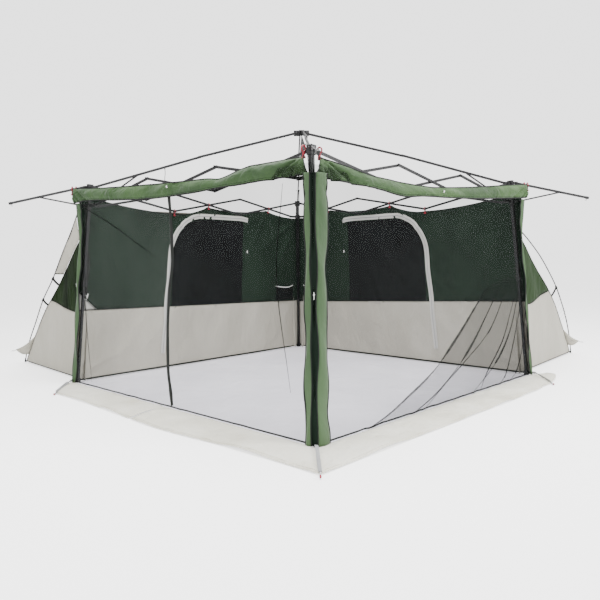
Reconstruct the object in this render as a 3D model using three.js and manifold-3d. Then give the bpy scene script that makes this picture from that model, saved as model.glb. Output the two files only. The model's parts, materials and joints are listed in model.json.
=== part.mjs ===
// Screen house: a pop-up frame with four telescoping legs, scissor trusses and folding roof poles, and the
// sewn tent that hangs in it: two mesh walls, two fabric walls and a sleeping pod behind each fabric wall.
// Millimetres, +Z up. The origin is on the ground at the middle of the square room. The walls run along X
// and Y, the mesh walls face -X and -Y, and the pods reach out towards +X and +Y.
import * as THREE from 'three';
import { mergeVertices } from 'three/addons/utils/BufferGeometryUtils.js';
import Module from 'manifold-3d';

// Driving dimensions
const ROOM_TOP = 2735; // between leg axes at the height of the top brackets
const ROOM_BASE = 2980; // between leg axes at the ground
const BRACKET_Z = 1790; // height of the truss pivots on the top brackets
const PEAK_Z = 2290; // top of the peak hub
const PAIRS = 3; // scissor pairs in each side truss
const TRUSS_DROP = 170; // lower pivots of the open truss, below the upper ones
const TRUSS_ARM = 50; // truss pivots of a bracket, from the leg axis
const FOLDED_ANGLE = 78; // degrees, slope of the truss bars when the frame is folded
const ROOF_ARM = 50; // roof and eave pivots of a bracket, from the leg axis
const ROOF_PIVOT_Z = 1800;
const MID_HINGE = { r: 930, z: 2060 }; // hinge halfway up each roof pole
const HUB_ARM = 45; // roof pole pivots of the hub, from its middle
const HUB_PIVOT_Z = 2268;
const EAVE_LENGTH = 690;
const EAVE_DROP = 11.8; // degrees below level, towards the eave tip
const EAVE_FOLDED_DROP = 80; // degrees, the eave pole lying along its leg
const ROOF_FOLDED_DROP = 74; // degrees, the outer roof pole when folded
const STRUT_ARM = 55; // strut pivots of a slider, from the leg axis
const SHEET = 3; // thickness of groundsheet and walls
const GAP = 0.3; // between pieces that rest on each other
const POD_DEPTH = 1480;
const POD_INSET = 190; // of the outer corners of a pod, from the room's corner line
const SKIRT = 280; // width of the ground skirt outside the mesh walls

// Worked out from them
const HALF_TOP = ROOM_TOP / 2;
const HALF_BASE = ROOM_BASE / 2;
const SPLAY = (HALF_BASE - HALF_TOP) / BRACKET_Z; // sideways run of a leg for each unit of height
const LEAN = Math.atan(SPLAY);
const PLANE_SPLAY = SPLAY * Math.cos(LEAN);
const TRUSS_STEP = (ROOM_TOP - 2 * TRUSS_ARM) / PAIRS;
const OPEN_ANGLE = Math.atan(TRUSS_DROP / TRUSS_STEP);
const FOLD_ANGLE = THREE.MathUtils.degToRad(FOLDED_ANGLE);
const BAR_LENGTH = Math.hypot(TRUSS_STEP, TRUSS_DROP);
// the bars that end on a slider are this much shorter, so that they meet it both open and folded
const RISE = Math.sin(FOLD_ANGLE) - Math.sin(OPEN_ANGLE);
const CLOSE = Math.cos(OPEN_ANGLE) - Math.cos(FOLD_ANGLE);
const TRIM = (PLANE_SPLAY * BAR_LENGTH * RISE) / (CLOSE + PLANE_SPLAY * RISE);
const SLIDER_DROP = (BAR_LENGTH - TRIM) * Math.sin(OPEN_ANGLE);
const SLIDER_FOLDED_DROP = (BAR_LENGTH - TRIM) * Math.sin(FOLD_ANGLE);

const LEG_TUBE = 28;
const LEG_BORE = 24;
const LOWER_TUBE = 22;
const LOWER_BORE = 18;
const UPPER_LEG_LENGTH = 905; // of the upper tube, below the truss pivots
const LEG_OVERLAP = 160; // of the extended lower tube inside the upper one
const BRACKET = { width: 44, below: 26, above: 34 };
const SLIDER = { width: 40, bore: 29.4, height: 50 };
const FOOT = { width: 42, thickness: 5, socket: 34, socketHeight: 40 };
const BAR = { height: 20, thickness: 10, end: 12, layer: 5.5 };
const POLE = { height: 20, thickness: 12, end: 12, side: 12.5 };
const STRUT = { height: 14, thickness: 8, end: 9, side: 10.5 };
const EAR = { height: 24, thickness: 8, end: 12, side: 10.5 };
const PIN = { radius: 3, hole: 3.5, head: 6, headThickness: 2.5, sides: 8 };

const BLACK_STEEL = { color: 0x17181a, roughness: 0.42, metalness: 0.7 };
const BLACK_PLASTIC = { color: 0x1b1c1e, roughness: 0.55, metalness: 0.0 };
const GREEN_CLOTH = { color: 0x3d5a34, roughness: 0.85, metalness: 0.0 };
const MESH_CLOTH = { color: 0x4b5148, roughness: 0.9, metalness: 0.0 };
const FLOOR_CLOTH = { color: 0xd6d5da, roughness: 0.75, metalness: 0.0 };

const CORNERS = {
  front: [-1, -1],
  left: [-1, 1],
  right: [1, -1],
  back: [1, 1],
};
// each side truss runs from its first corner to its second; out is the level direction out of the room
const SIDES = {
  back_left: { from: 'back', to: 'left', along: [-1, 0], out: [0, 1] },
  back_right: { from: 'back', to: 'right', along: [0, -1], out: [1, 0] },
  left_front: { from: 'left', to: 'front', along: [0, -1], out: [-1, 0] },
  right_front: { from: 'right', to: 'front', along: [-1, 0], out: [0, -1] },
};

const wasm = await Module();
wasm.setup();

function toSolid(geometry) {
  const bare = new THREE.BufferGeometry();
  bare.setAttribute('position', geometry.getAttribute('position').clone());
  if (geometry.index) bare.setIndex(geometry.index.clone());
  const merged = mergeVertices(bare, 1e-4);
  const vertProperties = new Float32Array(merged.getAttribute('position').array);
  const triVerts = new Uint32Array(merged.index.array);
  return new wasm.Manifold(new wasm.Mesh({ numProp: 3, vertProperties, triVerts }));
}

function toGeometry(solid) {
  const { vertProperties, triVerts } = solid.getMesh();
  const geometry = new THREE.BufferGeometry();
  geometry.setAttribute('position', new THREE.BufferAttribute(new Float32Array(vertProperties), 3));
  geometry.setIndex(new THREE.BufferAttribute(new Uint32Array(triVerts), 1));
  geometry.computeVertexNormals();
  return geometry;
}

function joined(geometries, cuts = []) {
  let solid = toSolid(geometries[0]);
  for (const other of geometries.slice(1)) {
    solid = solid.add(toSolid(other));
  }
  for (const other of cuts) {
    solid = solid.subtract(toSolid(other));
  }
  return toGeometry(solid);
}

// a box between two corners
function block(x0, x1, y0, y1, z0, z1) {
  const box = new THREE.BoxGeometry(x1 - x0, y1 - y0, z1 - z0);
  return box.translate((x0 + x1) / 2, (y0 + y1) / 2, (z0 + z1) / 2);
}

// a short cylinder along Z, centred on x, y, between two heights
function disc(radius, x, y, z0, z1) {
  const cylinder = new THREE.CylinderGeometry(radius, radius, z1 - z0, PIN.sides);
  return cylinder.rotateX(Math.PI / 2).translate(x, y, (z0 + z1) / 2);
}

// a pin that stands on the face at z0, runs through a neighbour of this thickness towards +Z or -Z, and ends in a head
function pin(x, y, z0, thickness, way) {
  const shank = thickness + 2 * GAP + 0.7;
  const ends = [z0 - way, z0 + way * (shank + 0.5)].sort((a, b) => a - b);
  const head = [z0 + way * shank, z0 + way * (shank + PIN.headThickness)].sort((a, b) => a - b);
  return joined([disc(PIN.radius, x, y, ...ends), disc(PIN.head, x, y, ...head)]);
}

function pinHole(x, y, z, thickness) {
  return disc(PIN.hole, x, y, z - thickness, z + thickness);
}

function mesh(name, geometry, look) {
  const piece = new THREE.Mesh(geometry, new THREE.MeshStandardMaterial(look));
  piece.name = name;
  return piece;
}

function basis(x, y, z, origin) {
  return new THREE.Matrix4().makeBasis(x, y, z).setPosition(origin);
}

// X along the side, Y up in its leaning plane, origin on the first leg's axis at bracket height
function sideFrame(side) {
  const { from, along, out } = SIDES[side];
  const [sx, sy] = CORNERS[from];
  const x = new THREE.Vector3(along[0], along[1], 0);
  const up = new THREE.Vector3(-out[0] * Math.sin(LEAN), -out[1] * Math.sin(LEAN), Math.cos(LEAN));
  const z = new THREE.Vector3().crossVectors(x, up);
  return basis(x, up, z, new THREE.Vector3(sx * HALF_TOP, sy * HALF_TOP, BRACKET_Z));
}

// X level and out through the corner, Y up, origin on the ground at the middle of the room
function diagonalFrame(corner) {
  const [sx, sy] = CORNERS[corner];
  const out = new THREE.Vector3(sx, sy, 0).normalize();
  const up = new THREE.Vector3(0, 0, 1);
  return basis(out, up, new THREE.Vector3().crossVectors(out, up), new THREE.Vector3());
}

// Z up along the leg, origin on its axis at bracket height
function legFrame(corner) {
  const [sx, sy] = CORNERS[corner];
  const up = new THREE.Vector3(-sx * SPLAY, -sy * SPLAY, 1).normalize();
  const x = new THREE.Vector3(1, 0, 0).addScaledVector(up, -up.x).normalize();
  const y = new THREE.Vector3().crossVectors(up, x);
  return basis(x, y, up, new THREE.Vector3(sx * HALF_TOP, sy * HALF_TOP, BRACKET_Z));
}

const LEG_SCALE = Math.sqrt(1 + 2 * SPLAY * SPLAY); // length along a leg for each unit of height
const LEG_R = HALF_TOP * Math.SQRT2; // a leg's axis in its diagonal frame, at bracket height

// A truss bar along X from its first pivot. Falling bars are bored, rising bars carry the pins.
function trussBar(rising, first, last, pins) {
  const { height, thickness, end } = BAR;
  const body = block(first - end, last + end, -height / 2, height / 2, -thickness / 2, thickness / 2);
  if (rising) {
    const studs = pins.map((x) => pin(x, 0, thickness / 2, thickness + 1, 1));
    return joined([body, ...studs]);
  }
  return joined([body], pins.map((x) => pinHole(x, 0, 0, thickness)));
}

function sideTruss(side) {
  const frame = new THREE.Group();
  frame.applyMatrix4(sideFrame(side));
  for (let i = 0; i < PAIRS; i += 1) {
    const x = TRUSS_ARM + i * TRUSS_STEP;
    const fallEnd = i === PAIRS - 1 ? BAR_LENGTH - TRIM : BAR_LENGTH;
    const fallPins = [0, BAR_LENGTH / 2, BAR_LENGTH].filter((p) => p <= fallEnd);
    const falling = mesh(`truss_${side}_falling_${i + 1}`, trussBar(false, 0, fallEnd, fallPins), BLACK_STEEL);
    falling.position.set(x, 0, BAR.layer);
    falling.rotation.z = -OPEN_ANGLE;
    const riseStart = i === 0 ? TRIM : 0;
    const risePins = [0, BAR_LENGTH / 2, BAR_LENGTH].filter((p) => p >= riseStart);
    const rising = mesh(`truss_${side}_rising_${i + 1}`, trussBar(true, riseStart, BAR_LENGTH, risePins), BLACK_STEEL);
    rising.position.set(x, -TRUSS_DROP, -BAR.layer);
    rising.rotation.z = OPEN_ANGLE;
    frame.add(falling, rising);
  }
  return frame;
}

// the two sides that meet at a corner, and whether each one starts there
function sidesAt(corner) {
  const names = Object.keys(SIDES).filter((s) => SIDES[s].from === corner || SIDES[s].to === corner);
  return names.map((side) => ({ side, starts: SIDES[side].from === corner }));
}

// the plate of a bracket that carries one truss, in the world's frame
function trussEar(side, starts) {
  const { thickness, layer } = BAR;
  const z = starts ? -layer : layer;
  const axis = starts ? 0 : ROOM_TOP;
  const reach = starts ? TRUSS_ARM : ROOM_TOP - TRUSS_ARM;
  const low = Math.min(axis, reach - EAR.end);
  const high = Math.max(axis, reach + EAR.end);
  const plate = block(low, high, -EAR.height / 2, EAR.height / 2, z - thickness / 2, z + thickness / 2);
  const stud = pin(reach, 0, z + thickness / 2, thickness + 1, 1);
  const ear = starts ? joined([plate, stud]) : joined([plate], [pinHole(reach, 0, z, thickness)]);
  return ear.applyMatrix4(sideFrame(side));
}

// the plate of a slider that meets the trimmed bar end of one truss
function sliderEar(side, starts) {
  const { thickness, layer } = BAR;
  const z = starts ? layer : -layer;
  const run = TRUSS_ARM + TRIM * Math.cos(OPEN_ANGLE);
  const axis = -PLANE_SPLAY * SLIDER_DROP;
  const inner = SLIDER.bore / 2 + 2;
  const low = starts ? axis + inner : ROOM_TOP - run - EAR.end;
  const high = starts ? run + EAR.end : ROOM_TOP - axis - inner;
  const ear = block(
    low, high, -SLIDER_DROP - EAR.height / 2, -SLIDER_DROP + EAR.height / 2, z - thickness / 2, z + thickness / 2);
  return ear.applyMatrix4(sideFrame(side));
}

function upperLeg(corner) {
  const { width, below, above } = BRACKET;
  const tube = block(-LEG_TUBE / 2, LEG_TUBE / 2, -LEG_TUBE / 2, LEG_TUBE / 2, -UPPER_LEG_LENGTH, above / 2);
  const bore = block(-LEG_BORE / 2, LEG_BORE / 2, -LEG_BORE / 2, LEG_BORE / 2, -UPPER_LEG_LENGTH - 10, 0);
  const cap = block(-width / 2, width / 2, -width / 2, width / 2, -below, above);
  const frame = legFrame(corner);
  const upright = [tube, cap].map((g) => g.applyMatrix4(frame));
  const diagonal = diagonalFrame(corner);
  const y = ROOF_PIVOT_Z;
  const ears = [-1, 1].map((way) => {
    const reach = LEG_R + way * ROOF_ARM;
    const [low, high] = [LEG_R, reach + way * EAR.end].sort((a, b) => a - b);
    const plate = block(low, high, y - EAR.height / 2, y + EAR.height / 2,
      EAR.side - EAR.thickness / 2, EAR.side + EAR.thickness / 2);
    const stud = pin(reach, y, EAR.side - EAR.thickness / 2, POLE.thickness + 0.5, -1);
    return joined([plate, stud]).applyMatrix4(diagonal);
  });
  const trussEars = sidesAt(corner).map(({ side, starts }) => trussEar(side, starts));
  const leg = joined([...upright, ...ears, ...trussEars], [bore.applyMatrix4(frame)]);
  return mesh(`leg_upper_${corner}`, leg, BLACK_STEEL);
}

function slider(corner) {
  const { width, bore, height } = SLIDER;
  const drop = SLIDER_DROP * Math.cos(LEAN) * LEG_SCALE;
  const collar = block(-width / 2, width / 2, -width / 2, width / 2, -drop - height / 2, -drop + height / 2);
  const hole = block(-bore / 2, bore / 2, -bore / 2, bore / 2, -drop - height, -drop + height);
  const frame = legFrame(corner);
  const diagonal = diagonalFrame(corner);
  const z = BRACKET_Z - SLIDER_DROP * Math.cos(LEAN);
  const axis = LEG_R + (BRACKET_Z - z) * SPLAY * Math.SQRT2;
  const ears = [-1, 1].map((way) => {
    const root = axis + way * (bore / 2 + 2) * Math.SQRT2;
    const [low, high] = [root, axis + way * (STRUT_ARM + STRUT.end)].sort((a, b) => a - b);
    return block(low, high, z - 10, z + 10, -4, 4).applyMatrix4(diagonal);
  });
  const trussEars = sidesAt(corner).map(({ side, starts }) => sliderEar(side, starts));
  const body = joined([collar.applyMatrix4(frame), ...ears, ...trussEars], [hole.applyMatrix4(frame)]);
  return mesh(`slider_${corner}`, body, BLACK_PLASTIC);
}

function lowerLeg(corner) {
  const [sx, sy] = CORNERS[corner];
  const foot = SHEET + GAP;
  const top = -UPPER_LEG_LENGTH + LEG_OVERLAP;
  const bottom = -(BRACKET_Z - foot - FOOT.thickness / 2) * LEG_SCALE;
  const frame = legFrame(corner);
  const tube = block(-LOWER_TUBE / 2, LOWER_TUBE / 2, -LOWER_TUBE / 2, LOWER_TUBE / 2, bottom, top);
  const bore = block(-LOWER_BORE / 2, LOWER_BORE / 2, -LOWER_BORE / 2, LOWER_BORE / 2, bottom + 60, top + 10);
  const half = FOOT.width / 2;
  const plate = block(-half, half, -half, half, foot, foot + FOOT.thickness);
  plate.translate(sx * HALF_BASE, sy * HALF_BASE, 0);
  const grip = FOOT.socket / 2;
  const socket = block(-grip, grip, -grip, grip, bottom + 4, bottom + FOOT.socketHeight);
  const shell = joined([tube.applyMatrix4(frame), plate, socket.applyMatrix4(frame)], [bore.applyMatrix4(frame)]);
  return mesh(`leg_lower_${corner}`, shell, BLACK_STEEL);
}

// a pole along X from its first pivot, bored for the pins given by their distances
function pole(size, length, holes = []) {
  const { height, thickness, end } = size;
  const body = block(-end, length + end, -height / 2, height / 2, -thickness / 2, thickness / 2);
  if (holes.length === 0) return body;
  return joined([body], holes.map((x) => pinHole(x, 0, 0, thickness)));
}

// a vector of the diagonal frame: x out from the middle of the room, y up
function slope(degrees) {
  const angle = THREE.MathUtils.degToRad(degrees);
  return new THREE.Vector2(Math.cos(angle), Math.sin(angle));
}

// How far along a pole its strut is pinned, so that a strut of one length reaches the slider open and folded.
// The pole turns on the bracket at arm from the leg axis; way is -1 for the roof and 1 for the eaves.
function strutPlace(way, open, folded) {
  const pivot = new THREE.Vector2(way * ROOF_ARM, ROOF_PIVOT_Z - BRACKET_Z);
  const ends = [SLIDER_DROP, SLIDER_FOLDED_DROP].map((drop) => {
    const down = drop * Math.cos(LEAN);
    return new THREE.Vector2(down * SPLAY * Math.SQRT2 + way * STRUT_ARM, -down);
  });
  const [near, far] = ends.map((end) => pivot.clone().sub(end));
  const along = far.lengthSq() - near.lengthSq();
  return along / (2 * (near.dot(open) - far.dot(folded)));
}

function roofAndEave(corner) {
  const frame = new THREE.Group();
  frame.applyMatrix4(diagonalFrame(corner));
  const pivot = new THREE.Vector2(LEG_R - ROOF_ARM, ROOF_PIVOT_Z);
  const mid = new THREE.Vector2(MID_HINGE.r, MID_HINGE.z);
  const hub = new THREE.Vector2(HUB_ARM, HUB_PIVOT_Z);
  const eave = new THREE.Vector2(LEG_R + ROOF_ARM, ROOF_PIVOT_Z);
  const sliderDown = SLIDER_DROP * Math.cos(LEAN);
  const sliderAxis = new THREE.Vector2(LEG_R + sliderDown * SPLAY * Math.SQRT2, BRACKET_Z - sliderDown);

  const place = (piece, from, to, side) => {
    piece.position.set(from.x, from.y, side);
    piece.rotation.z = Math.atan2(to.y - from.y, to.x - from.x);
    frame.add(piece);
  };
  const outerLength = pivot.distanceTo(mid);
  const outer = mesh(`roof_pole_outer_${corner}`, pole(POLE, outerLength, [0]), BLACK_STEEL);
  place(outer, pivot, mid, 0);
  const innerLength = mid.distanceTo(hub);
  const inner = mesh(`roof_pole_inner_${corner}`, pole(POLE, innerLength, [innerLength]), BLACK_STEEL);
  place(inner, mid, hub, -POLE.side);
  const roofOpen = mid.clone().sub(pivot).normalize();
  const roofFolded = slope(180 + ROOF_FOLDED_DROP);
  const roofPin = pivot.clone().addScaledVector(roofOpen, strutPlace(-1, roofOpen, roofFolded));
  const roofEnd = sliderAxis.clone().add(new THREE.Vector2(-STRUT_ARM, 0));
  const roofStrut = mesh(`roof_strut_${corner}`, pole(STRUT, roofPin.distanceTo(roofEnd)), BLACK_STEEL);
  place(roofStrut, roofPin, roofEnd, STRUT.side);

  const eaveOpen = slope(-EAVE_DROP);
  const tip = eave.clone().addScaledVector(eaveOpen, EAVE_LENGTH);
  const eavePole = mesh(`eave_pole_${corner}`, pole(POLE, EAVE_LENGTH, [0]), BLACK_STEEL);
  place(eavePole, eave, tip, 0);
  const eavePin = eave.clone().addScaledVector(eaveOpen, strutPlace(1, eaveOpen, slope(-EAVE_FOLDED_DROP)));
  const eaveEnd = sliderAxis.clone().add(new THREE.Vector2(STRUT_ARM, 0));
  const eaveStrut = mesh(`eave_strut_${corner}`, pole(STRUT, eavePin.distanceTo(eaveEnd)), BLACK_STEEL);
  place(eaveStrut, eavePin, eaveEnd, STRUT.side);
  return frame;
}

function peakHub() {
  const core = new THREE.CylinderGeometry(26, 26, 40, 12).rotateX(Math.PI / 2).translate(0, 0, PEAK_Z - 20);
  const ears = Object.keys(CORNERS).map((corner) => {
    const y = HUB_PIVOT_Z;
    const plate = block(0, HUB_ARM + 10, y - 10, y + 10, -4, 4);
    const stud = pin(HUB_ARM, y, -4, POLE.thickness + 2.5, -1);
    return joined([plate, stud]).applyMatrix4(diagonalFrame(corner));
  });
  return mesh('peak_hub', joined([core, ...ears]), BLACK_PLASTIC);
}

// a solid between two outlines of the same number of points, at two heights; counter-clockwise seen from above
function loft(low, high, z0, z1) {
  const n = low.length;
  const points = [...low.map(([x, y]) => [x, y, z0]), ...high.map(([x, y]) => [x, y, z1])];
  const caps = THREE.ShapeUtils.triangulateShape(low.map(([x, y]) => new THREE.Vector2(x, y)), []);
  const index = [];
  for (const [a, b, c] of caps) {
    index.push(a, c, b, n + a, n + b, n + c);
  }
  for (let i = 0; i < n; i += 1) {
    const j = (i + 1) % n;
    index.push(i, j, n + j, i, n + j, n + i);
  }
  const geometry = new THREE.BufferGeometry();
  geometry.setAttribute('position', new THREE.Float32BufferAttribute(points.flat(), 3));
  geometry.setIndex(index);
  return geometry;
}

const WALL_OUT = 24; // inner face of the walls, outside the leg axes' plane
const WALL_LOW = SHEET + GAP;
const WALL_CORNER_TOP = 1540; // the corner of two walls passes outside the leg up to here
const WALL_TOP = 1765;
const WALL_END = 45; // clear of the leg axis where a wall ends, and beside the brackets

function halfAt(z) {
  return HALF_TOP + (BRACKET_Z - z) * SPLAY;
}

// Two walls that meet outside the leg of one corner; sign is +1 for the corner at +X +Y, -1 for the one at -X -Y.
function cornerWalls(sign) {
  const outline = (z) => {
    const inner = halfAt(z) + WALL_OUT;
    const outer = inner + SHEET;
    const end = -(halfAt(z) - WALL_END);
    return [[outer, outer], [end, outer], [end, inner], [inner, inner], [inner, end], [outer, end]].map(
      ([x, y]) => [sign * x, sign * y]);
  };
  const band = (z) => {
    const inner = halfAt(z) + WALL_OUT;
    const outer = inner + SHEET;
    const end = halfAt(z) - WALL_END;
    return { alongX: [[end, outer], [-end, outer], [-end, inner], [end, inner]],
      alongY: [[outer, -end], [outer, end], [inner, end], [inner, -end]] };
  };
  const turned = (points) => points.map(([x, y]) => [sign * x, sign * y]);
  const bandLow = WALL_CORNER_TOP - 10;
  const low = band(bandLow);
  const high = band(WALL_TOP);
  return [
    loft(outline(WALL_LOW), outline(WALL_CORNER_TOP), WALL_LOW, WALL_CORNER_TOP),
    loft(turned(low.alongX), turned(high.alongX), bandLow, WALL_TOP),
    loft(turned(low.alongY), turned(high.alongY), bandLow, WALL_TOP),
  ];
}

function screenWalls() {
  return mesh('screen_walls', joined(cornerWalls(-1)), MESH_CLOTH);
}

// the roof line of a pod: distance out from the room wall, and height
const POD_PROFILE = [[0, 1500], [480, 1130], [960, 660], [1290, 290], [POD_DEPTH, WALL_LOW]];

// The space of the pod beyond +Y, shrunk by inset. It is lofted slice by slice out from the wall.
function podSolid(inset) {
  const wide = (d) => HALF_BASE - 70 - (POD_INSET - 70) * (d / POD_DEPTH) - inset;
  const start = HALF_BASE - 80;
  const slices = POD_PROFILE.map(([d, z]) => ({ y: HALF_BASE + 10 + d - (d > 0 ? inset : 0), w: wide(d), z: z - inset }));
  const floor = WALL_LOW + inset;
  const rows = [{ y: start, w: wide(0), z: slices[0].z }, ...slices.map((s) => ({ ...s, z: Math.max(s.z, floor + 3) }))];
  const points = rows.flatMap(({ y, w, z }) => [[-w, y, floor], [w, y, floor], [w * 0.97, y, z], [-w * 0.97, y, z]]);
  const index = [];
  for (let i = 0; i < rows.length - 1; i += 1) {
    for (let k = 0; k < 4; k += 1) {
      const a = 4 * i + k;
      const b = 4 * i + ((k + 1) % 4);
      index.push(a, a + 4, b, b, a + 4, b + 4);
    }
  }
  const last = 4 * (rows.length - 1);
  index.push(0, 1, 2, 0, 2, 3, last, last + 2, last + 1, last, last + 3, last + 2);
  const geometry = new THREE.BufferGeometry();
  geometry.setAttribute('position', new THREE.Float32BufferAttribute(points.flat(), 3));
  geometry.setIndex(index);
  return geometry;
}

const MIRROR = new THREE.Matrix4().set(0, 1, 0, 0, 1, 0, 0, 0, 0, 0, 1, 0, 0, 0, 0, 1);

// the pod beyond +Y, or with across the one beyond +X
function podShell(across) {
  const shells = [0, SHEET].map((inset) => toSolid(podSolid(inset)));
  const room = toSolid(loft(
    [[-2000, -2000], [2000, -2000], [2000, halfAt(WALL_LOW) + WALL_OUT + 1], [-2000, halfAt(WALL_LOW) + WALL_OUT + 1]],
    [[-2000, -2000], [2000, -2000], [2000, halfAt(1800) + WALL_OUT + 1], [-2000, halfAt(1800) + WALL_OUT + 1]],
    WALL_LOW - 5, 1800));
  const [outer, inner] = shells;
  const shell = outer.subtract(inner).subtract(room);
  return across ? shell.mirror([1, -1, 0]) : shell;
}

const DOOR = { half: 430, low: 120, high: 1370 }; // the doorway from the room into each pod

function sleepingCabin() {
  let cabin = toSolid(joined(cornerWalls(1)));
  const doorAlongX = toSolid(block(-DOOR.half, DOOR.half, HALF_TOP - 60, HALF_BASE + 60, DOOR.low, DOOR.high));
  for (const across of [false, true]) {
    cabin = cabin.add(podShell(across));
    cabin = cabin.subtract(across ? doorAlongX.mirror([1, -1, 0]) : doorAlongX);
  }
  return mesh('sleeping_cabin', toGeometry(cabin), GREEN_CLOTH);
}

function groundsheet() {
  const edge = HALF_BASE + 50;
  const skirt = HALF_BASE + SKIRT;
  const pod = HALF_BASE + 10 + POD_DEPTH;
  const podHalf = HALF_BASE - POD_INSET;
  const outline = [
    [-skirt, -skirt], [edge, -skirt], [edge, -edge], [pod, -podHalf], [pod, podHalf], [edge, edge],
    [podHalf, pod], [-podHalf, pod], [-edge, edge], [-skirt, edge],
  ];
  const shape = new THREE.Shape(outline.map(([x, y]) => new THREE.Vector2(x, y)));
  return mesh('groundsheet', new THREE.ExtrudeGeometry(shape, { depth: SHEET, bevelEnabled: false }), FLOOR_CLOTH);
}

const screenHouse = new THREE.Group();
screenHouse.add(groundsheet(), screenWalls(), sleepingCabin(), peakHub());
for (const corner of Object.keys(CORNERS)) {
  screenHouse.add(upperLeg(corner), lowerLeg(corner), slider(corner), roofAndEave(corner));
}
for (const side of Object.keys(SIDES)) {
  screenHouse.add(sideTruss(side));
}

export default screenHouse;
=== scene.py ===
import json
import math

import bpy
import numpy as np
from mathutils import Matrix, Vector, noise
from mathutils.geometry import delaunay_2d_cdt


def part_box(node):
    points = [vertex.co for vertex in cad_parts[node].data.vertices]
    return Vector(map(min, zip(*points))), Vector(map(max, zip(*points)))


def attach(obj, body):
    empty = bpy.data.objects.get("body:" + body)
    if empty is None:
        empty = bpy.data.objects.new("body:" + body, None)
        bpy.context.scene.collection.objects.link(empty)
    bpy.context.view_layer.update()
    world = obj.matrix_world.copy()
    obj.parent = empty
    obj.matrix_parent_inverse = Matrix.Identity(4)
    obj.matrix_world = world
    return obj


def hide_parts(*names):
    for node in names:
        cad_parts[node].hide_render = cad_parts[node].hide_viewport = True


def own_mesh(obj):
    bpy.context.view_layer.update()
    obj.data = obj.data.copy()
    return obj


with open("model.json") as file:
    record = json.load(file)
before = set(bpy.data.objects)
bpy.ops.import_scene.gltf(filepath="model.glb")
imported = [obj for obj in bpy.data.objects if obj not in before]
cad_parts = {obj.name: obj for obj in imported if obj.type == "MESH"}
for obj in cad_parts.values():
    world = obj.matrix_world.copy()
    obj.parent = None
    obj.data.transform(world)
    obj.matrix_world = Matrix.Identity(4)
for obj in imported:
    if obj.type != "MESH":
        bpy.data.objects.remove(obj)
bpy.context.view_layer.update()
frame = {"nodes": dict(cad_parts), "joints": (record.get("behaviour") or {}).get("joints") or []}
JOINTS = {joint["name"]: joint for joint in frame["joints"]}

# ---------------------------------------------------------------- camera

CAMERA_PLACE = Vector((-4.247, -3.992, 1.144))
CAMERA_YAW, CAMERA_PITCH, CAMERA_ROLL = 0.811, -0.069, -0.012
CAMERA_LENS = 37.66


def make_camera():
    ahead = Vector((math.sin(CAMERA_YAW) * math.cos(CAMERA_PITCH),
                    math.cos(CAMERA_YAW) * math.cos(CAMERA_PITCH), math.sin(CAMERA_PITCH)))
    right = Vector((math.cos(CAMERA_YAW), -math.sin(CAMERA_YAW), 0))
    up = right.cross(ahead)
    rolled_right = right * math.cos(CAMERA_ROLL) + up * math.sin(CAMERA_ROLL)
    rolled_up = up * math.cos(CAMERA_ROLL) - right * math.sin(CAMERA_ROLL)
    camera = bpy.data.objects.new("camera", bpy.data.cameras.new("camera"))
    camera.data.lens = CAMERA_LENS
    bpy.context.scene.collection.objects.link(camera)
    axes = (rolled_right, rolled_up, -ahead, CAMERA_PLACE)
    camera.matrix_world = Matrix([[axis[row] for axis in axes] for row in range(3)] + [[0, 0, 0, 1]])
    bpy.context.scene.camera = camera


make_camera()

# ---------------------------------------------------------------- sizes, in metres

LEG_HALF_TOP = JOINTS["frame_fold"]["pos_m"][0]  # leg axis from the middle, at the brackets
BRACKET_Z = JOINTS["frame_fold"]["pos_m"][2]
FOOT_HALF = 0.021
LEG_HALF_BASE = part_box("leg_lower_back")[1][0] - FOOT_HALF
EAVE_SLOPE = math.radians(11.8)
HANG_Z = 1.78  # where the cloth corners hang from the eave poles
# how far outside the line of the legs the cloth hangs: (height, gap)
CLOTH_GAP = [(0.0, 0.026), (0.6, 0.032), (1.3, 0.040), (1.6, 0.066), (HANG_Z, 0.10)]
GROUND = 0.0035  # top of the groundsheet
CLOTH_THICKNESS = 0.0012
WALL_FOOT = 0.0105  # the walls' lower edges clear the creases of the groundsheet

UP = Vector((0, 0, 1))
CORNERS = {"front": (-1, -1), "left": (-1, 1), "right": (1, -1), "back": (1, 1)}
WALLS = {
    "front_left": {"from": "front", "along": Vector((0, 1, 0)), "out": Vector((-1, 0, 0))},
    "front_right": {"from": "front", "along": Vector((1, 0, 0)), "out": Vector((0, -1, 0))},
    "back_left": {"from": "back", "along": Vector((-1, 0, 0)), "out": Vector((0, 1, 0))},
    "back_right": {"from": "back", "along": Vector((0, -1, 0)), "out": Vector((1, 0, 0))},
}


def at_corner(corner, half, z=0.0):
    """A point this far from the middle along both walls of a corner."""
    sx, sy = CORNERS[corner]
    return Vector((sx * half, sy * half, z))


def outward(corner):
    sx, sy = CORNERS[corner]
    return Vector((sx, sy, 0)).normalized()


def leg_half(z):
    return LEG_HALF_TOP + (BRACKET_Z - z) * (LEG_HALF_BASE - LEG_HALF_TOP) / BRACKET_Z


def wall_point(wall, u, z, off=0.0):
    """u metres along a wall of nominal length from its first corner, off metres out of its plane."""
    side = WALLS[wall]
    half = cloth_half(z)
    return at_corner(side["from"], half, z) + side["along"] * (2 * half * u / LENGTH) + side["out"] * off


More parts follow.
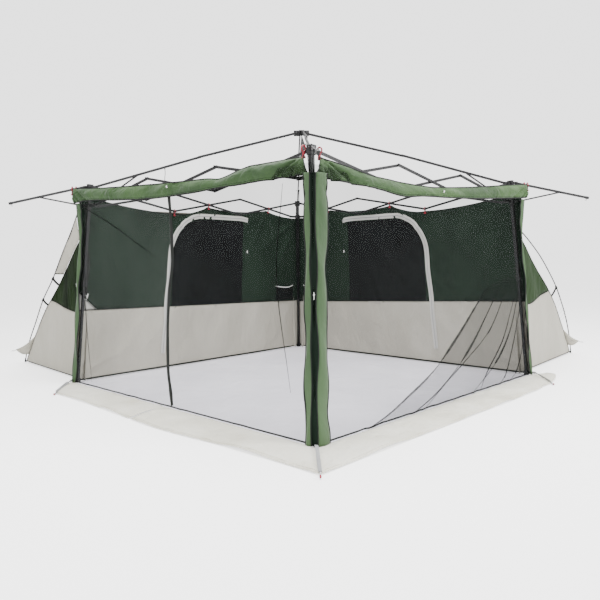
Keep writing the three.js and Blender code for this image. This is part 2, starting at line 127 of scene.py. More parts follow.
def through(points):
    """A smooth curve y(x) through points in order of x (monotone cubic)."""
    xs = [p[0] for p in points]
    ys = [p[1] for p in points]
    n = len(xs)
    slopes = [(ys[i + 1] - ys[i]) / (xs[i + 1] - xs[i]) for i in range(n - 1)]
    tangents = [slopes[0]] + [
        0.0 if a * b <= 0 else 2 * a * b / (a + b) for a, b in zip(slopes, slopes[1:])] + [slopes[-1]]

    def curve(x):
        x = min(max(x, xs[0]), xs[-1])
        i = max(k for k in range(n - 1) if xs[k] <= x)
        h = xs[i + 1] - xs[i]
        t = (x - xs[i]) / h
        return (ys[i] * (2 * t**3 - 3 * t**2 + 1) + tangents[i] * h * (t**3 - 2 * t**2 + t)
                + ys[i + 1] * (3 * t**2 - 2 * t**3) + tangents[i + 1] * h * (t**3 - t**2))

    return curve


cloth_gap = through(CLOTH_GAP)


def cloth_half(z):
    return leg_half(z) + cloth_gap(z)


CLOTH_HALF_BASE = cloth_half(0.0)
CLOTH_HALF_TOP = cloth_half(HANG_Z)
LENGTH = 2 * CLOTH_HALF_TOP  # nominal length of a wall, for distances along it


def smooth(points, count):
    """count + 1 points on a smooth line through the given ones (Catmull-Rom)."""
    points = [Vector(p) for p in points]
    ends = [2 * points[0] - points[1], *points, 2 * points[-1] - points[-2]]
    spans = len(points) - 1
    out = []
    for k in range(count + 1):
        at = k / count * spans
        i = min(int(at), spans - 1)
        t = at - i
        a, b, c, d = ends[i:i + 4]
        out.append(0.5 * (2 * b + (c - a) * t + (2 * a - 5 * b + 4 * c - d) * t * t
                          + (3 * b - a - 3 * c + d) * t**3))
    return out


def line_2d(points, count):
    """(distance, height) pairs on a smooth line through the given ones."""
    return [(p.x, p.y) for p in smooth([(u, z, 0) for u, z in points], count)]


def spread(start, end, count):
    """count + 1 numbers evenly from start to end."""
    return [start + (end - start) * i / count for i in range(count + 1)]


def ripple(u, v, seed):
    return noise.noise(Vector((u, v, seed)))


def ease(x):
    x = min(max(x, 0.0), 1.0)
    return x * x * (3 - 2 * x)


# ---------------------------------------------------------------- materials

def add(tree, kind, inputs=None, **settings):
    node = tree.nodes.new("ShaderNode" + kind)
    for key, value in settings.items():
        setattr(node, key, value)
    for key, value in (inputs or {}).items():
        if isinstance(value, bpy.types.NodeSocket):
            tree.links.new(value, node.inputs[key])
        else:
            node.inputs[key].default_value = value
    return node


def math_node(tree, operation, a, b=0.0):
    return add(tree, "Math", {0: a, 1: b}, operation=operation).outputs[0]


def blank(name):
    material = bpy.data.materials.new(name)
    material.use_nodes = True
    tree = material.node_tree
    return material, tree, tree.nodes["Principled BSDF"]


def ramp(tree, value, stops):
    node = add(tree, "ValToRGB", {"Fac": value})
    elements = node.color_ramp.elements
    for element, (place, colour) in zip((elements[0], elements[1]), (stops[0], stops[-1])):
        element.position = place
        element.color = (*colour, 1)
    for place, colour in stops[1:-1]:
        element = elements.new(place)
        element.color = (*colour, 1)
    return node.outputs["Color"]


def span(tree, value, low, high):
    return add(tree, "MapRange", {"Value": value, "To Min": low, "To Max": high}).outputs["Result"]


def threads(tree, coordinate, pitch, flat):
    """Heights of two crossing sets of threads, on upright walls, or on the ground where flat."""
    split = add(tree, "SeparateXYZ", {0: coordinate})
    x, y, z = split.outputs
    across = math_node(tree, "ADD", x, y)
    other = math_node(tree, "SUBTRACT", x, y) if flat else z
    waves = []
    for direction in (across, other):
        phase = math_node(tree, "MULTIPLY", direction, math.pi / pitch)
        waves.append(math_node(tree, "ABSOLUTE", math_node(tree, "SINE", phase)))
    return waves


def cloth(name, colour, shade, roughness=0.78, sheen=0.25, wrinkle=0.006, wrinkles=7.0, stretch=(1, 1, 0.4),
          pitch=0.0022, flat=False, alpha=None, stain=None, gloss=0.3):
    """Woven coated cloth: uneven dye, soft crumples, and threads of the given pitch."""
    material, tree, shader = blank(name)
    place = add(tree, "TexCoord").outputs["Object"]
    drawn = add(tree, "VectorMath", {0: place, 1: stretch}, operation="MULTIPLY").outputs[0]
    dye = add(tree, "TexNoise", {"Vector": drawn, "Scale": 1.7, "Detail": 4.0, "Roughness": 0.55})
    fine = add(tree, "TexNoise", {"Vector": drawn, "Scale": 46.0, "Detail": 3.0})
    warp, weft = threads(tree, place, pitch, flat)
    weave = math_node(tree, "MULTIPLY", warp, weft)
    mixed = math_node(tree, "ADD", math_node(tree, "MULTIPLY", dye.outputs["Fac"], 0.8),
                      math_node(tree, "MULTIPLY", fine.outputs["Fac"], 0.16))
    mixed = math_node(tree, "ADD", mixed, math_node(tree, "MULTIPLY", weave, 0.09))
    stops = [(0.34, shade), (0.66, colour)]
    if stain:
        stops = [(0.28, stain), (0.42, shade), (0.7, colour)]
    tree.links.new(ramp(tree, mixed, stops), shader.inputs["Base Color"])
    crumple = add(tree, "TexNoise", {"Vector": drawn, "Scale": wrinkles, "Detail": 3.0, "Roughness": 0.5,
                                     "Distortion": 0.6})
    relief = add(tree, "Bump", {"Strength": 0.8, "Distance": wrinkle * 4, "Height": crumple.outputs["Fac"]})
    tree.links.new(relief.outputs["Normal"], shader.inputs["Normal"])
    uneven = span(tree, fine.outputs["Fac"], roughness - 0.12, roughness + 0.1)
    tree.links.new(uneven, shader.inputs["Roughness"])
    shader.inputs["Sheen Weight"].default_value = sheen
    shader.inputs["Sheen Roughness"].default_value = 0.4
    shader.inputs["Specular IOR Level"].default_value = gloss
    if alpha:
        thread = math_node(tree, "MAXIMUM", warp, weft)
        open_share = math_node(tree, "POWER", thread, 3.0)
        patchy = math_node(tree, "MULTIPLY", span(tree, dye.outputs["Fac"], 0.8, 1.2),
                           span(tree, open_share, alpha[0], alpha[1]))
        tree.links.new(patchy, shader.inputs["Alpha"])
    return material


def hard(name, colour, worn, roughness, metallic=0.0, coat=0.0, grain=180.0, relief=0.0004):
    """Painted metal or moulded plastic: fine grain, cloudy gloss, and rubbed patches."""
    material, tree, shader = blank(name)
    place = add(tree, "TexCoord").outputs["Object"]
    cloud = add(tree, "TexNoise", {"Vector": place, "Scale": 5.0, "Detail": 6.0, "Roughness": 0.65})
    speck = add(tree, "TexNoise", {"Vector": place, "Scale": grain, "Detail": 3.0})
    rubbed = math_node(tree, "ADD", math_node(tree, "MULTIPLY", cloud.outputs["Fac"], 0.75),
                       math_node(tree, "MULTIPLY", speck.outputs["Fac"], 0.25))
    paint = ramp(tree, rubbed, [(0.3, colour), (0.6, colour), (0.78, worn)])
    tree.links.new(paint, shader.inputs["Base Color"])
    uneven = span(tree, cloud.outputs["Fac"], roughness - 0.12, roughness + 0.15)
    tree.links.new(uneven, shader.inputs["Roughness"])
    peel = add(tree, "Bump", {"Strength": 0.4, "Distance": relief, "Height": speck.outputs["Fac"]})
    tree.links.new(peel.outputs["Normal"], shader.inputs["Normal"])
    shader.inputs["Metallic"].default_value = metallic
    shader.inputs["Coat Weight"].default_value = coat
    shader.inputs["Coat Roughness"].default_value = 0.25
    return material


STEEL = hard("powder_coat", (0.004, 0.0042, 0.005), (0.016, 0.0165, 0.018), 0.45, metallic=0.1, coat=0.05)
PLASTIC = hard("black_nylon", (0.005, 0.0052, 0.0056), (0.012, 0.0125, 0.013), 0.52, grain=320.0)
RED = hard("red_plastic", (0.26, 0.003, 0.018), (0.34, 0.012, 0.035), 0.35, coat=0.2, grain=260.0)
BARE = hard("bare_steel", (0.42, 0.42, 0.44), (0.2, 0.19, 0.18), 0.32, metallic=1.0, grain=240.0)
GREEN = cloth("valance_green", (0.042, 0.093, 0.024), (0.013, 0.037, 0.009), roughness=0.62, sheen=0.12,
              wrinkle=0.005, wrinkles=9.0, stretch=(1, 1, 1.6))
COVER_GREEN = cloth("cover_green", (0.058, 0.107, 0.045), (0.028, 0.060, 0.022), roughness=0.64, sheen=0.12,
                    wrinkle=0.005, wrinkles=10.0, stretch=(1, 1, 0.5))
# Darker copy of the cover cloth: painted shade for the sunk fold down the middle of each corner cover; the
# valance stitching uses it too.
SHADED_GREEN = cloth("painted_shade_green", (0.0055, 0.014, 0.008), (0.003, 0.007, 0.004), roughness=0.72, sheen=0.02,
                   gloss=0.12)
WALL_GREEN = cloth("wall_green", (0.0125, 0.025, 0.0155), (0.0055, 0.013, 0.0075), roughness=0.72, sheen=0.02,
                   wrinkle=0.006, wrinkles=5.0, gloss=0.12)
POD_GREEN = cloth("pod_green", (0.018, 0.041, 0.009), (0.009, 0.023, 0.0045), roughness=0.7, sheen=0.04,
                  gloss=0.14)
# Darker copy of the pod cloth: painted shade on the left pod's green sides.
POD_GREEN_SHADED = cloth("pod_green_painted_shade", (0.009, 0.025, 0.003), (0.002, 0.006, 0.001), roughness=0.7, sheen=0.01,
                 gloss=0.08, stretch=(1, 3, 0.6))
BEIGE = cloth("beige", (0.48, 0.46, 0.395), (0.37, 0.352, 0.295), roughness=0.74, sheen=0.1, wrinkle=0.006)
CREAM = cloth("cream", (0.80, 0.785, 0.70), (0.64, 0.62, 0.52), roughness=0.76, sheen=0.2, wrinkles=11.0,
              stretch=(1, 1, 1), flat=True, stain=(0.48, 0.445, 0.35))
FLOOR = cloth("floor", (0.87, 0.855, 0.93), (0.77, 0.755, 0.83), roughness=0.6, sheen=0.1, wrinkle=0.007,
              wrinkles=4.5, stretch=(1, 1, 1), flat=True)
SCREEN = cloth("insect_mesh", (0.010, 0.011, 0.0105), (0.006, 0.007, 0.0065), roughness=0.8, sheen=0.0,
               pitch=0.0034, wrinkle=0.003, alpha=(0.24, 0.38), gloss=0.05)
# Lighter copy of the insect mesh: painted light for the brighter haze over the left mesh wall's door.
SCREEN_PAINTED_LIGHT = cloth("door_insect_mesh_painted_light", (0.045, 0.048, 0.046), (0.03, 0.032, 0.031), roughness=0.8, sheen=0.0,
                    pitch=0.0034, wrinkle=0.003, alpha=(0.25, 0.39), gloss=0.05)
SCREEN_FOLD = cloth("doubled_mesh", (0.010, 0.011, 0.011), (0.006, 0.007, 0.0065), roughness=0.8, sheen=0.0,
                    pitch=0.0034, alpha=(0.42, 0.62), gloss=0.05)
DARK_MESH = cloth("door_mesh", (0.0065, 0.0075, 0.0078), (0.004, 0.0048, 0.005), roughness=0.75, sheen=0.0,
                  pitch=0.003, alpha=(0.97, 1.0), gloss=0.08)
TAPE = cloth("tape", (0.56, 0.555, 0.52), (0.44, 0.435, 0.40), roughness=0.7, sheen=0.2, wrinkles=26.0,
             wrinkle=0.002, pitch=0.0015)
ELASTIC = cloth("white_elastic", (0.78, 0.78, 0.76), (0.62, 0.62, 0.6), roughness=0.7, sheen=0.2,
                pitch=0.0012)
BINDING = cloth("black_binding", (0.006, 0.008, 0.006), (0.003, 0.0035, 0.003), roughness=0.7, sheen=0.02,
                pitch=0.0014, wrinkle=0.001, wrinkles=40.0)
WEBBING = cloth("grey_webbing", (0.34, 0.345, 0.35), (0.22, 0.22, 0.225), roughness=0.7, sheen=0.2,
                pitch=0.0016, wrinkle=0.001, wrinkles=40.0)

# ---------------------------------------------------------------- shapes


def solid(name, vertices, faces, material, sharp=40.0):
    mesh = bpy.data.meshes.new(name)
    mesh.from_pydata([tuple(v) for v in vertices], [], faces)
    mesh.validate()
    mesh.polygons.foreach_set("use_smooth", [True] * len(mesh.polygons))
    mesh.set_sharp_from_angle(angle=math.radians(sharp))
    mesh.materials.append(material)
    piece = bpy.data.objects.new(name, mesh)
    bpy.context.scene.collection.objects.link(piece)
    return piece


class Shape:
    """Closed solids gathered into one piece."""

    def __init__(self):
        self.vertices = []
        self.faces = []

    def skin(self, rings):
        """A closed solid through rings of the same number of points."""
        sides, start = len(rings[0]), len(self.vertices)
        first = tuple(reversed(range(sides)))
        last = tuple(range((len(rings) - 1) * sides, len(rings) * sides))
        walls = []
        for a in range((len(rings) - 1) * sides):
            b = a + 1 if (a + 1) % sides else a + 1 - sides
            walls.append((a, b, b + sides, a + sides))
        faces = [first, *walls, last]
        self.vertices += [Vector(v) for ring in rings for v in ring]
        self.faces += [tuple(start + i for i in face) for face in faces]

    def tube(self, points, radius, sides=8, flat=1.0, across=None, taper=None):
        """A closed tube along points; flat below 1 thins it at right angles to across."""
        points = [Vector(p) for p in points]
        count = len(points)
        side = None
        rings = []
        for i, point in enumerate(points):
            ahead = (points[min(i + 1, count - 1)] - points[max(i - 1, 0)]).normalized()
            start = Vector(across) if across is not None else side
            if start is None:
                start = UP if abs(ahead.z) < 0.9 else Vector((1, 0, 0))
            side = (start - ahead * start.dot(ahead)).normalized()
            other = ahead.cross(side)
            size = radius * (taper(i / (count - 1)) if taper else 1.0)
            rings.append([point + side * (size * math.cos(a)) + other * (size * flat * math.sin(a))
                          for a in (2 * math.pi * k / sides for k in range(sides))])
        self.skin(rings)

    def block(self, centre, axes, size, bevel=0.002):
        """A box with bevelled edges; axes are its three directions, size its three lengths."""
        x, y, z = (Vector(a).normalized() for a in axes)
        hx, hy, hz = (s / 2 for s in size)
        b = min(bevel, 0.45 * min(size))
        ring = [(hx, hy - b), (hx - b, hy), (-hx + b, hy), (-hx, hy - b),
                (-hx, -hy + b), (-hx + b, -hy), (hx - b, -hy), (hx, -hy + b)]
        rows = [(-hz, 1), (-hz + b, 0), (hz - b, 0), (hz, 1)]
        self.skin([[Vector(centre) + x * (px - math.copysign(b * inner, px))
                    + y * (py - math.copysign(b * inner, py)) + z * height for px, py in ring]
                   for height, inner in rows])

    def ribbon(self, line, facing, width, thickness):
        """A flat band along a line, facing the given way, with thinner edges."""
        rings = []
        for i, p in enumerate(line):
            ahead = (line[min(i + 1, len(line) - 1)] - line[max(i - 1, 0)]).normalized()
            half, deep = ahead.cross(facing).normalized() * width / 2, facing * thickness / 2
            rings.append([p + half * a + deep * b for a, b in (
                (1, 0.3), (0.8, 1), (-0.8, 1), (-1, 0.3), (-1, -0.3), (-0.8, -1), (0.8, -1), (1, -0.3))])
        self.skin(rings)

    def lathe(self, centre, axis, profile, sides=14):
        """Turned about axis; profile is (distance along, radius) from one closed end to the other."""
        axis = Vector(axis).normalized()
        helper = UP if abs(axis.z) < 0.9 else Vector((1, 0, 0))
        x = (helper - axis * helper.dot(axis)).normalized()
        y = axis.cross(x)
        turns = [2 * math.pi * k / sides for k in range(sides)]
        self.skin([[Vector(centre) + axis * along + (x * math.cos(a) + y * math.sin(a)) * radius
                    for a in turns] for along, radius in profile])

    def make(self, name, material, sharp=40.0):
        return solid(name, self.vertices, self.faces, material, sharp)


def ring_points(outline, step):
    out = []
    for a, b in zip(outline, outline[1:] + outline[:1]):
        count = max(1, math.ceil(math.dist(a, b) / step - 0.01))
        out += [(a[0] + (b[0] - a[0]) * k / count, a[1] + (b[1] - a[1]) * k / count) for k in range(count)]
    return out


def within(points, outline):
    x, y = points[:, 0], points[:, 1]
    hit = np.zeros(len(points), bool)
    for (x0, y0), (x1, y1) in zip(outline, outline[1:] + outline[:1]):
        if y0 != y1:
            hit ^= ((y0 > y) != (y1 > y)) & (x < (x1 - x0) * (y - y0) / (y1 - y0) + x0)
    return hit


def area_of(outline):
    return abs(sum(x0 * y1 - x1 * y0 for (x0, y0), (x1, y1) in zip(outline, outline[1:] + outline[:1]))) / 2


def grid_faces(rows, columns):
    """The faces of a grid of points, row by row."""
    across = columns + 1
    return [(j * across + i, j * across + i + 1, (j + 1) * across + i + 1, (j + 1) * across + i)
            for j in range(rows) for i in range(columns)]


def thicken(piece):
    layer = piece.modifiers.new("thickness", "SOLIDIFY")
    layer.thickness = CLOTH_THICKNESS
    layer.offset = 0.0


def cut_cloth(name, outline, place, material, step=0.03, holes=(), thick=True):
    """A sheet cut to an outline in its flat plane, with holes, and hung by place(u, v)."""
    rings = [ring_points(r, step) for r in (outline, *holes)]
    edge = np.array([p for r in rings for p in r])
    low, high = edge.min(0), edge.max(0)
    grid = np.array([(x, y) for y in np.arange(low[1] + step / 2, high[1], step)
                     for x in np.arange(low[0] + step / 2, high[0], step)])
    keep = within(grid, rings[0])
    for hole in rings[1:]:
        keep &= ~within(grid, hole)
    grid = grid[keep]
    near = np.array([np.abs(edge - g).max(1).min() > 0.45 * step for g in grid])
    grid = grid[near]
    edges, start = [], 0
    for r in rings:
        edges += [(start + i, start + (i + 1) % len(r)) for i in range(len(r))]
        start += len(r)
    flat = [Vector(p) for p in edge] + [Vector(p) for p in grid]
    points, _, faces, *_ = delaunay_2d_cdt(flat, edges, [], 0, 1e-6)
    middle = np.array([np.mean([points[i] for i in face], axis=0) for face in faces])
    keep = within(middle, rings[0])
    for hole in rings[1:]:
        keep &= ~within(middle, hole)
    faces = [tuple(face) for face, k in zip(faces, keep) if k]
    piece = solid(name, [place(p.x, p.y) for p in points], faces, material, sharp=180.0)
    if thick:
        thicken(piece)
    piece["flat_size"] = [float(high[0] - low[0]), float(high[1] - low[1])]
    piece["flat_area"] = area_of(list(outline)) - sum(area_of(list(h)) for h in holes)
    return piece


def strip_cloth(name, lows, highs, rows, material, place):
    """A sheet between two lines of points; place(point, share along, share across) gives it its relief."""
    spans = len(lows) - 1
    vertices = [place(lows[i].lerp(highs[i], j / rows), i / spans, j / rows)
                for j in range(rows + 1) for i in range(spans + 1)]
    piece = solid(name, vertices, grid_faces(rows, spans), material, sharp=180.0)
    thicken(piece)
    lengths = [sum((b - a).length for a, b in zip(line, line[1:])) for line in (lows, highs)]
    across = [(a - b).length for a, b in zip(lows, highs)]
    piece["flat_size"] = [max(lengths), max(across)]
    piece["flat_area"] = sum(lengths) / 2 * float(np.mean(across))
    return piece


def with_wall(piece, wall, held=None):
    """Ride on the wall's corner leg as the frame folds."""
    side = WALLS[wall]
    if held:
        declare(piece)
    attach(piece, "leg_upper_" + side["from"])
    tuple(at_corner(side["from"], LEG_HALF_TOP))
    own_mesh(piece)


def declare(piece):
    width, length = piece["flat_size"]
    area = max(min(piece["flat_area"], width * length), 0.3 * width * length)


# ---------------------------------------------------------------- the hanging lines of the cloth

# (distance along, height) of each mesh wall's valance, and of the room walls' upper edges
VALANCE_TOP = {
    "front_left": [(0.14, 1.764), (0.40, 1.744), (0.63, 1.728), (0.89, 1.684), (1.0, 1.695), (1.44, 1.707),
                   (2.2, 1.737), (2.6, 1.76), (2.935, 1.785)],
    "front_right": [(0.145, 1.752), (0.32, 1.716), (0.53, 1.672), (0.83, 1.657), (1.22, 1.645), (1.79, 1.678),
                    (2.14, 1.709), (2.57, 1.752), (2.935, 1.785)],
}
VALANCE_LOW = {
    "front_left": [(0.065, 1.644), (0.29, 1.637), (0.62, 1.623), (0.9, 1.62), (1.19, 1.608), (1.57, 1.606),
                   (2.13, 1.627), (2.73, 1.66), (2.95, 1.652)],
    "front_right": [(0.065, 1.632), (0.13, 1.626), (0.35, 1.607), (0.66, 1.582), (0.94, 1.556), (1.18, 1.573),
                    (1.45, 1.581), (1.92, 1.598), (2.58, 1.64), (2.95, 1.665)],
}
# where the valances are drawn up to the trusses
VALANCE_MARKS = {"front_left": (0.55, 1.45, 2.3), "front_right": (0.5, 1.45, 2.3)}
# seam between the green and the beige of the room walls
SPLIT = {"back_left": [(0, 0.598), (LENGTH, 0.672)], "back_right": [(0, 0.586), (LENGTH, 0.702)]}
DOOR = {  # left, right, low, top of the mesh panel, and the rounding of its far upper corner
    "back_left": {"near": 0.935, "far": 1.90, "low": 0.62, "top": 1.55, "round": 0.36},
    "back_right": {"near": 0.833, "far": 1.862, "low": 0.62, "top": 1.538, "round": 0.36},
}
valance_top = {wall: through(points) for wall, points in VALANCE_TOP.items()}
valance_low = {wall: through(points) for wall, points in VALANCE_LOW.items()}
split_at = {wall: through(points) for wall, points in SPLIT.items()}


def along_wall(wall, place):
    """Distance along a wall of a point of the frame."""
    side = WALLS[wall]
    half = cloth_half(place.z)
    return (place - at_corner(side["from"], half, place.z)).dot(side["along"]) * LENGTH / (2 * half)


def crossings(wall):
    """Where a side's truss bars cross, from the frame's joints."""
    return [Vector(JOINTS[f"fold_{wall}_rising_{i}"]["pos_m"]) for i in (1, 2, 3)]


# ---------------------------------------------------------------- groundsheet and skirts

SKIRT_WIDTH = 0.33
SLIT = 1.41  # where the door's zip runs on through the skirt, from the front corner


def floor_height(x, y):
    edge = min(1.0, 4.0 * max(0.0, CLOTH_HALF_BASE - 0.04 - max(abs(x), abs(y))))
    swell = 0.5 + 0.5 * ripple(x * 1.3, y * 1.3, 3.1)
    crease = max(0.0, 1 - abs(ripple(x * 2.1 + 4, y * 1.1, 7.7)) * 9) * 0.6
    crease += max(0.0, 1 - abs(ripple(x * 1.0, y * 2.6 + 2, 12.3)) * 11) * 0.5
    return GROUND + edge * (0.0035 * swell * swell + 0.002 * crease)


def lay(piece):
    """A sheet that lies on the ground and stays there."""
    declare(piece)
    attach(piece, "groundsheet")
    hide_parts("groundsheet")


def make_floor():
    half = CLOTH_HALF_BASE - 0.004
    outline = [(-half, -half), (half, -half), (half, half), (-half, half)]
    lay(cut_cloth("floor_sheet", outline, lambda x, y: Vector((x, y, floor_height(x, y))), FLOOR, 0.04))
    for name, across in (("left", False), ("right", True)):
        low, deep = CLOTH_HALF_BASE + 0.004, POD_END[name] - 0.05
        wide, narrow = LEG_HALF_BASE - 0.11, LEG_HALF_BASE - 0.22

        def place(x, y):
            z = GROUND + 0.003 + 0.002 * ripple(x * 2, y * 2, 5.5)
            return Vector((y, x, z)) if across else Vector((x, y, z))

        outline = [(-wide, low), (wide, low), (narrow, deep), (-narrow, deep)]
        lay(cut_cloth(f"pod_floor_{name}", outline, place, BEIGE, 0.06))


def skirt_point(wall, u, v):
    """u along the wall, v from 0 at its foot to 1 at the skirt's outer hem."""
    foot = wall_point(wall, min(max(u, -0.02), LENGTH + 0.02), 0.0)
    side = WALLS[wall]
    reach = SKIRT_WIDTH * (1 + 0.04 * ripple(u * 1.3, 2.0, 8.0))
    if wall == "front_left":  # pulled out by the door's zip
        reach *= 1 + 0.17 * math.exp(-((u - 1.1) / 0.6) ** 2)
    lean = 0.0
    if u < 0.4:  # towards the corner peg
        lean = -SKIRT_WIDTH * (1 - ease(u / 0.4))
    at_end = ease((u - LENGTH + 0.7) / 0.7)
    if wall == "front_left":  # its end is cut slanting, and curves
        lean -= 0.36 * at_end * v ** 0.4
        reach *= 1 + 0.03 * at_end
    else:  # its end is drawn out to a curled point, half way across
        lean += at_end * (0.34 * math.sin(math.pi * v) - 0.30 * v)
        reach *= 1 - 0.05 * at_end
    wave = ripple(u * 3.2, v * 1.2, 4.4)
    rise = 0.004 + 0.050 * v * (1 - v) * (1.2 + wave)
    rise += 0.016 * v * v * max(0.0, ripple(u * 4.5, 0.3, 9.2) + 0.25)
    rise += 0.006 * max(0.0, 1 - abs(ripple(u * 5, v * 2, 2.6)) * 8)
    return foot + side["out"] * (0.004 + reach * v) + side["along"] * (lean * v) + UP * rise


def make_skirts():
    for wall, cuts in (("front_left", (0.0, SLIT, LENGTH)), ("front_right", (0.0, LENGTH))):
        for k, (start, end) in enumerate(zip(cuts, cuts[1:])):
            start_gap = 0.012 if k else 0.0
            end_gap = 0.012 if end < LENGTH else 0.0
            outline = [(start + start_gap * 0.2, 0), (end, 0), (end - end_gap, SKIRT_WIDTH),
                       (start + start_gap, SKIRT_WIDTH)]
            piece = cut_cloth(f"skirt_{wall}_{k + 1}", outline,
                              lambda u, v, wall=wall: skirt_point(wall, u, v / SKIRT_WIDTH), CREAM, 0.026)
            lay(piece)
            hem = Shape()
            for v in (0.94, 0.998):
                line = [skirt_point(wall, u, v) for u in spread(start + 0.012, end - 0.012, 110)]
                hem.tube([p + UP * 0.0016 for p in line], 0.0028 if v > 0.95 else 0.0016, 6, 0.6)
            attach(hem.make(f"skirt_hem_{wall}_{k + 1}", CREAM), "groundsheet")


# ---------------------------------------------------------------- mesh walls

ZIP = [(1.484, 1.62), (1.484, 1.286), (1.475, 1.116), (1.507, 0.897), (1.515, 0.623), (1.487, 0.311),
       (1.448, 0.157), (SLIT + 0.01, 0.03), (SLIT, WALL_FOOT)]
ZIP_END = 0.024  # height at which the zip tape ends, just above the ground
ZIP_PULLS = (0.93, 0.9)  # heights of the two pullers
# long slack folds of the mesh: (distance along, height) through which each one runs, and its depth
FOLDS = {
    "front_left": [([(0.25, 1.6), (0.32, 1.0), (0.2, 0.3)], 0.006),
                   ([(2.85, 1.2), (2.75, 0.6), (2.6, 0.05)], 0.008),
                   ([(2.8, 1.6), (2.4, 1.45), (1.7, 1.15)], 0.006)],
    "front_right": [([(2.2, 0.86), (1.725, 0.541), (1.339, 0.305), (0.99, 0.165), (0.72, 0.07), (0.5, 0.02)],
                     0.022),
                    ([(2.42, 0.86), (2.02, 0.514), (1.665, 0.277), (1.284, 0.101), (0.99, 0.015)], 0.018),
                    ([(2.52, 0.8), (2.196, 0.497), (1.855, 0.333), (1.484, 0.176), (1.14, 0.02)], 0.014),
                    ([(2.78, 0.8), (2.574, 0.462), (2.237, 0.201), (1.86, 0.03)], 0.016),
                    ([(2.7, 0.75), (2.45, 0.42), (2.1, 0.15), (1.98, 0.03)], 0.010),
                    ([(2.87, 0.82), (2.656, 0.4), (2.44, 0.1), (2.3, 0.02)], 0.015),
                    ([(2.9, 0.62), (2.783, 0.277), (2.65, 0.09), (2.5, 0.02)], 0.013),
                    ([(2.9, 1.3), (2.86, 0.95), (2.78, 0.6)], 0.008)],
}
fold_lines = {wall: [(line_2d(line, 24), depth) for line, depth in folds]
              for wall, folds in FOLDS.items()}


def mesh_belly(wall, u, z):
    """How far a mesh wall stands out of its plane, without its folds: a slack belly, and upright slack."""
    edge = ease(min(u, LENGTH - u) / 0.25) * ease((z + 0.02) / 0.25) * ease((1.68 - z) / 0.3)
    off = -0.016 * math.sin(math.pi * u / LENGTH) * math.sin(math.pi * min(z, 1.6) / 1.6)
    return off + 0.008 * ripple(u * 3.1, z * 0.9, 6.0 if wall == "front_left" else 8.5) * edge


def mesh_relief(wall, u, z):
    off = mesh_belly(wall, u, z)
    for line, depth in fold_lines[wall]:
        near = min((x - u) ** 2 + (y - z) ** 2 for x, y in line)
        if near < 0.02:
            off += depth * math.exp(-near / 0.0007) - 0.5 * depth * math.exp(-near / 0.004)
    return off


def mesh_point(wall, u, z, more=0.0):
    return wall_point(wall, u, z, mesh_relief(wall, u, z) + more)


def make_mesh_walls():
    zip_line = line_2d(ZIP, 40)
    for wall in ("front_left", "front_right"):
        top = [(u, valance_low[wall](u) + 0.06) for u in reversed(spread(0, LENGTH, 60))]
        parts = [("", [(0.0, WALL_FOOT), (LENGTH, WALL_FOOT), *top], SCREEN)]
        if wall == "front_left":
            near = [p for p in top if p[0] < ZIP[0][0]]
            far = [p for p in top if p[0] > ZIP[0][0]]
            # The door part takes the lighter copy of the mesh: painted light.
            parts = [("_fixed", [(0.0, WALL_FOOT), *reversed(zip_line), *near], SCREEN),
                     ("_door", [zip_line[-1], (LENGTH, WALL_FOOT), *far, *zip_line[:-1]], SCREEN_PAINTED_LIGHT)]
        for part, outline, material in parts:
            piece = cut_cloth(f"mesh_wall_{wall}{part}", outline,
                              lambda u, z, wall=wall: mesh_point(wall, u, z), material, 0.03, thick=False)
            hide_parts("screen_walls")
            with_wall(piece, wall, "hung")
        pleats = Shape()
        for line, depth in fold_lines[wall]:
            crest = [wall_point(wall, u, z, mesh_belly(wall, u, z) + depth * 0.5 + 0.004)
                     for u, z in line_2d(line[::3], 60)]
            pleats.tube(crest, 0.003 + depth * 0.36, 6, 0.22, across=WALLS[wall]["along"] + UP * 0.6,
                        taper=lambda t: 0.25 + 0.75 * math.sin(math.pi * min(1.0, 0.08 + t * 0.9)))
        with_wall(pleats.make(f"mesh_pleats_{wall}", SCREEN_FOLD), wall)
        seam = Shape()
        seam.tube([mesh_point(wall, u, 0.018 + 0.003 * ripple(i * 0.21, 1.0, 5.0), 0.003)
                   for i, u in enumerate(spread(0, LENGTH, 120))], 0.006, 6, 0.4, across=UP)
        with_wall(seam.make(f"mesh_seam_{wall}", BINDING), wall)


def make_mesh_gather():
    """The slack of the right mesh wall, drawn down over itself below its longest fold."""
    wall = "front_right"
    edge = line_2d(FOLDS[wall][0][0], 30)
    outline = [(0.5, WALL_FOOT), (LENGTH - 0.04, WALL_FOOT), (LENGTH - 0.03, 0.9), (2.55, 0.93), *edge]

    def place(u, z):
        wave = 0.007 * math.sin((u + z * 1.1) * 34.0) * ease((z - 0.01) / 0.1)
        return mesh_point(wall, u, z, 0.012 + wave)

    piece = cut_cloth(f"mesh_gather_{wall}", outline, place, SCREEN, 0.025, thick=False)
    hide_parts("screen_walls")
    with_wall(piece, wall, "hung")


def make_zip():
    wall = "front_left"
    line = [(u, z) for u, z in line_2d(ZIP, 90) if z > ZIP_END]
    tape = Shape()
    tape.tube([mesh_point(wall, u, z, 0.006) for u, z in line], 0.024, 8, 0.22, across=(0, 1, 0),
              taper=lambda t: 0.85 + 0.3 * ripple(t * 9, 0.5, 7.0))
    tape.tube([mesh_point(wall, u, z, 0.0075) for u, z in line], 0.0045, 6, 0.8, across=(0, 1, 0))
    for height in ZIP_PULLS:
        place = min(line, key=lambda p: abs(p[1] - height))
        tape.block(mesh_point(wall, *place, 0.012), ((0, 1, 0), UP, (1, 0, 0)), (0.011, 0.02, 0.006))
    with_wall(tape.make("door_zip", BINDING), wall)


# ---------------------------------------------------------------- valances


def gather(u, z, at, strength, count, seed=0.0, reach=0.42):
    """Folds that fan out from the point the cloth is tied at."""
    du, dz = u - at[0], z - at[1]
    r = math.hypot(du, dz)
    fold = 1 - abs(math.sin(count * math.atan2(dz, du) / 2 + seed))
    return -strength * fold * fold * math.exp(-r / reach) * min(1.0, r / 0.07)


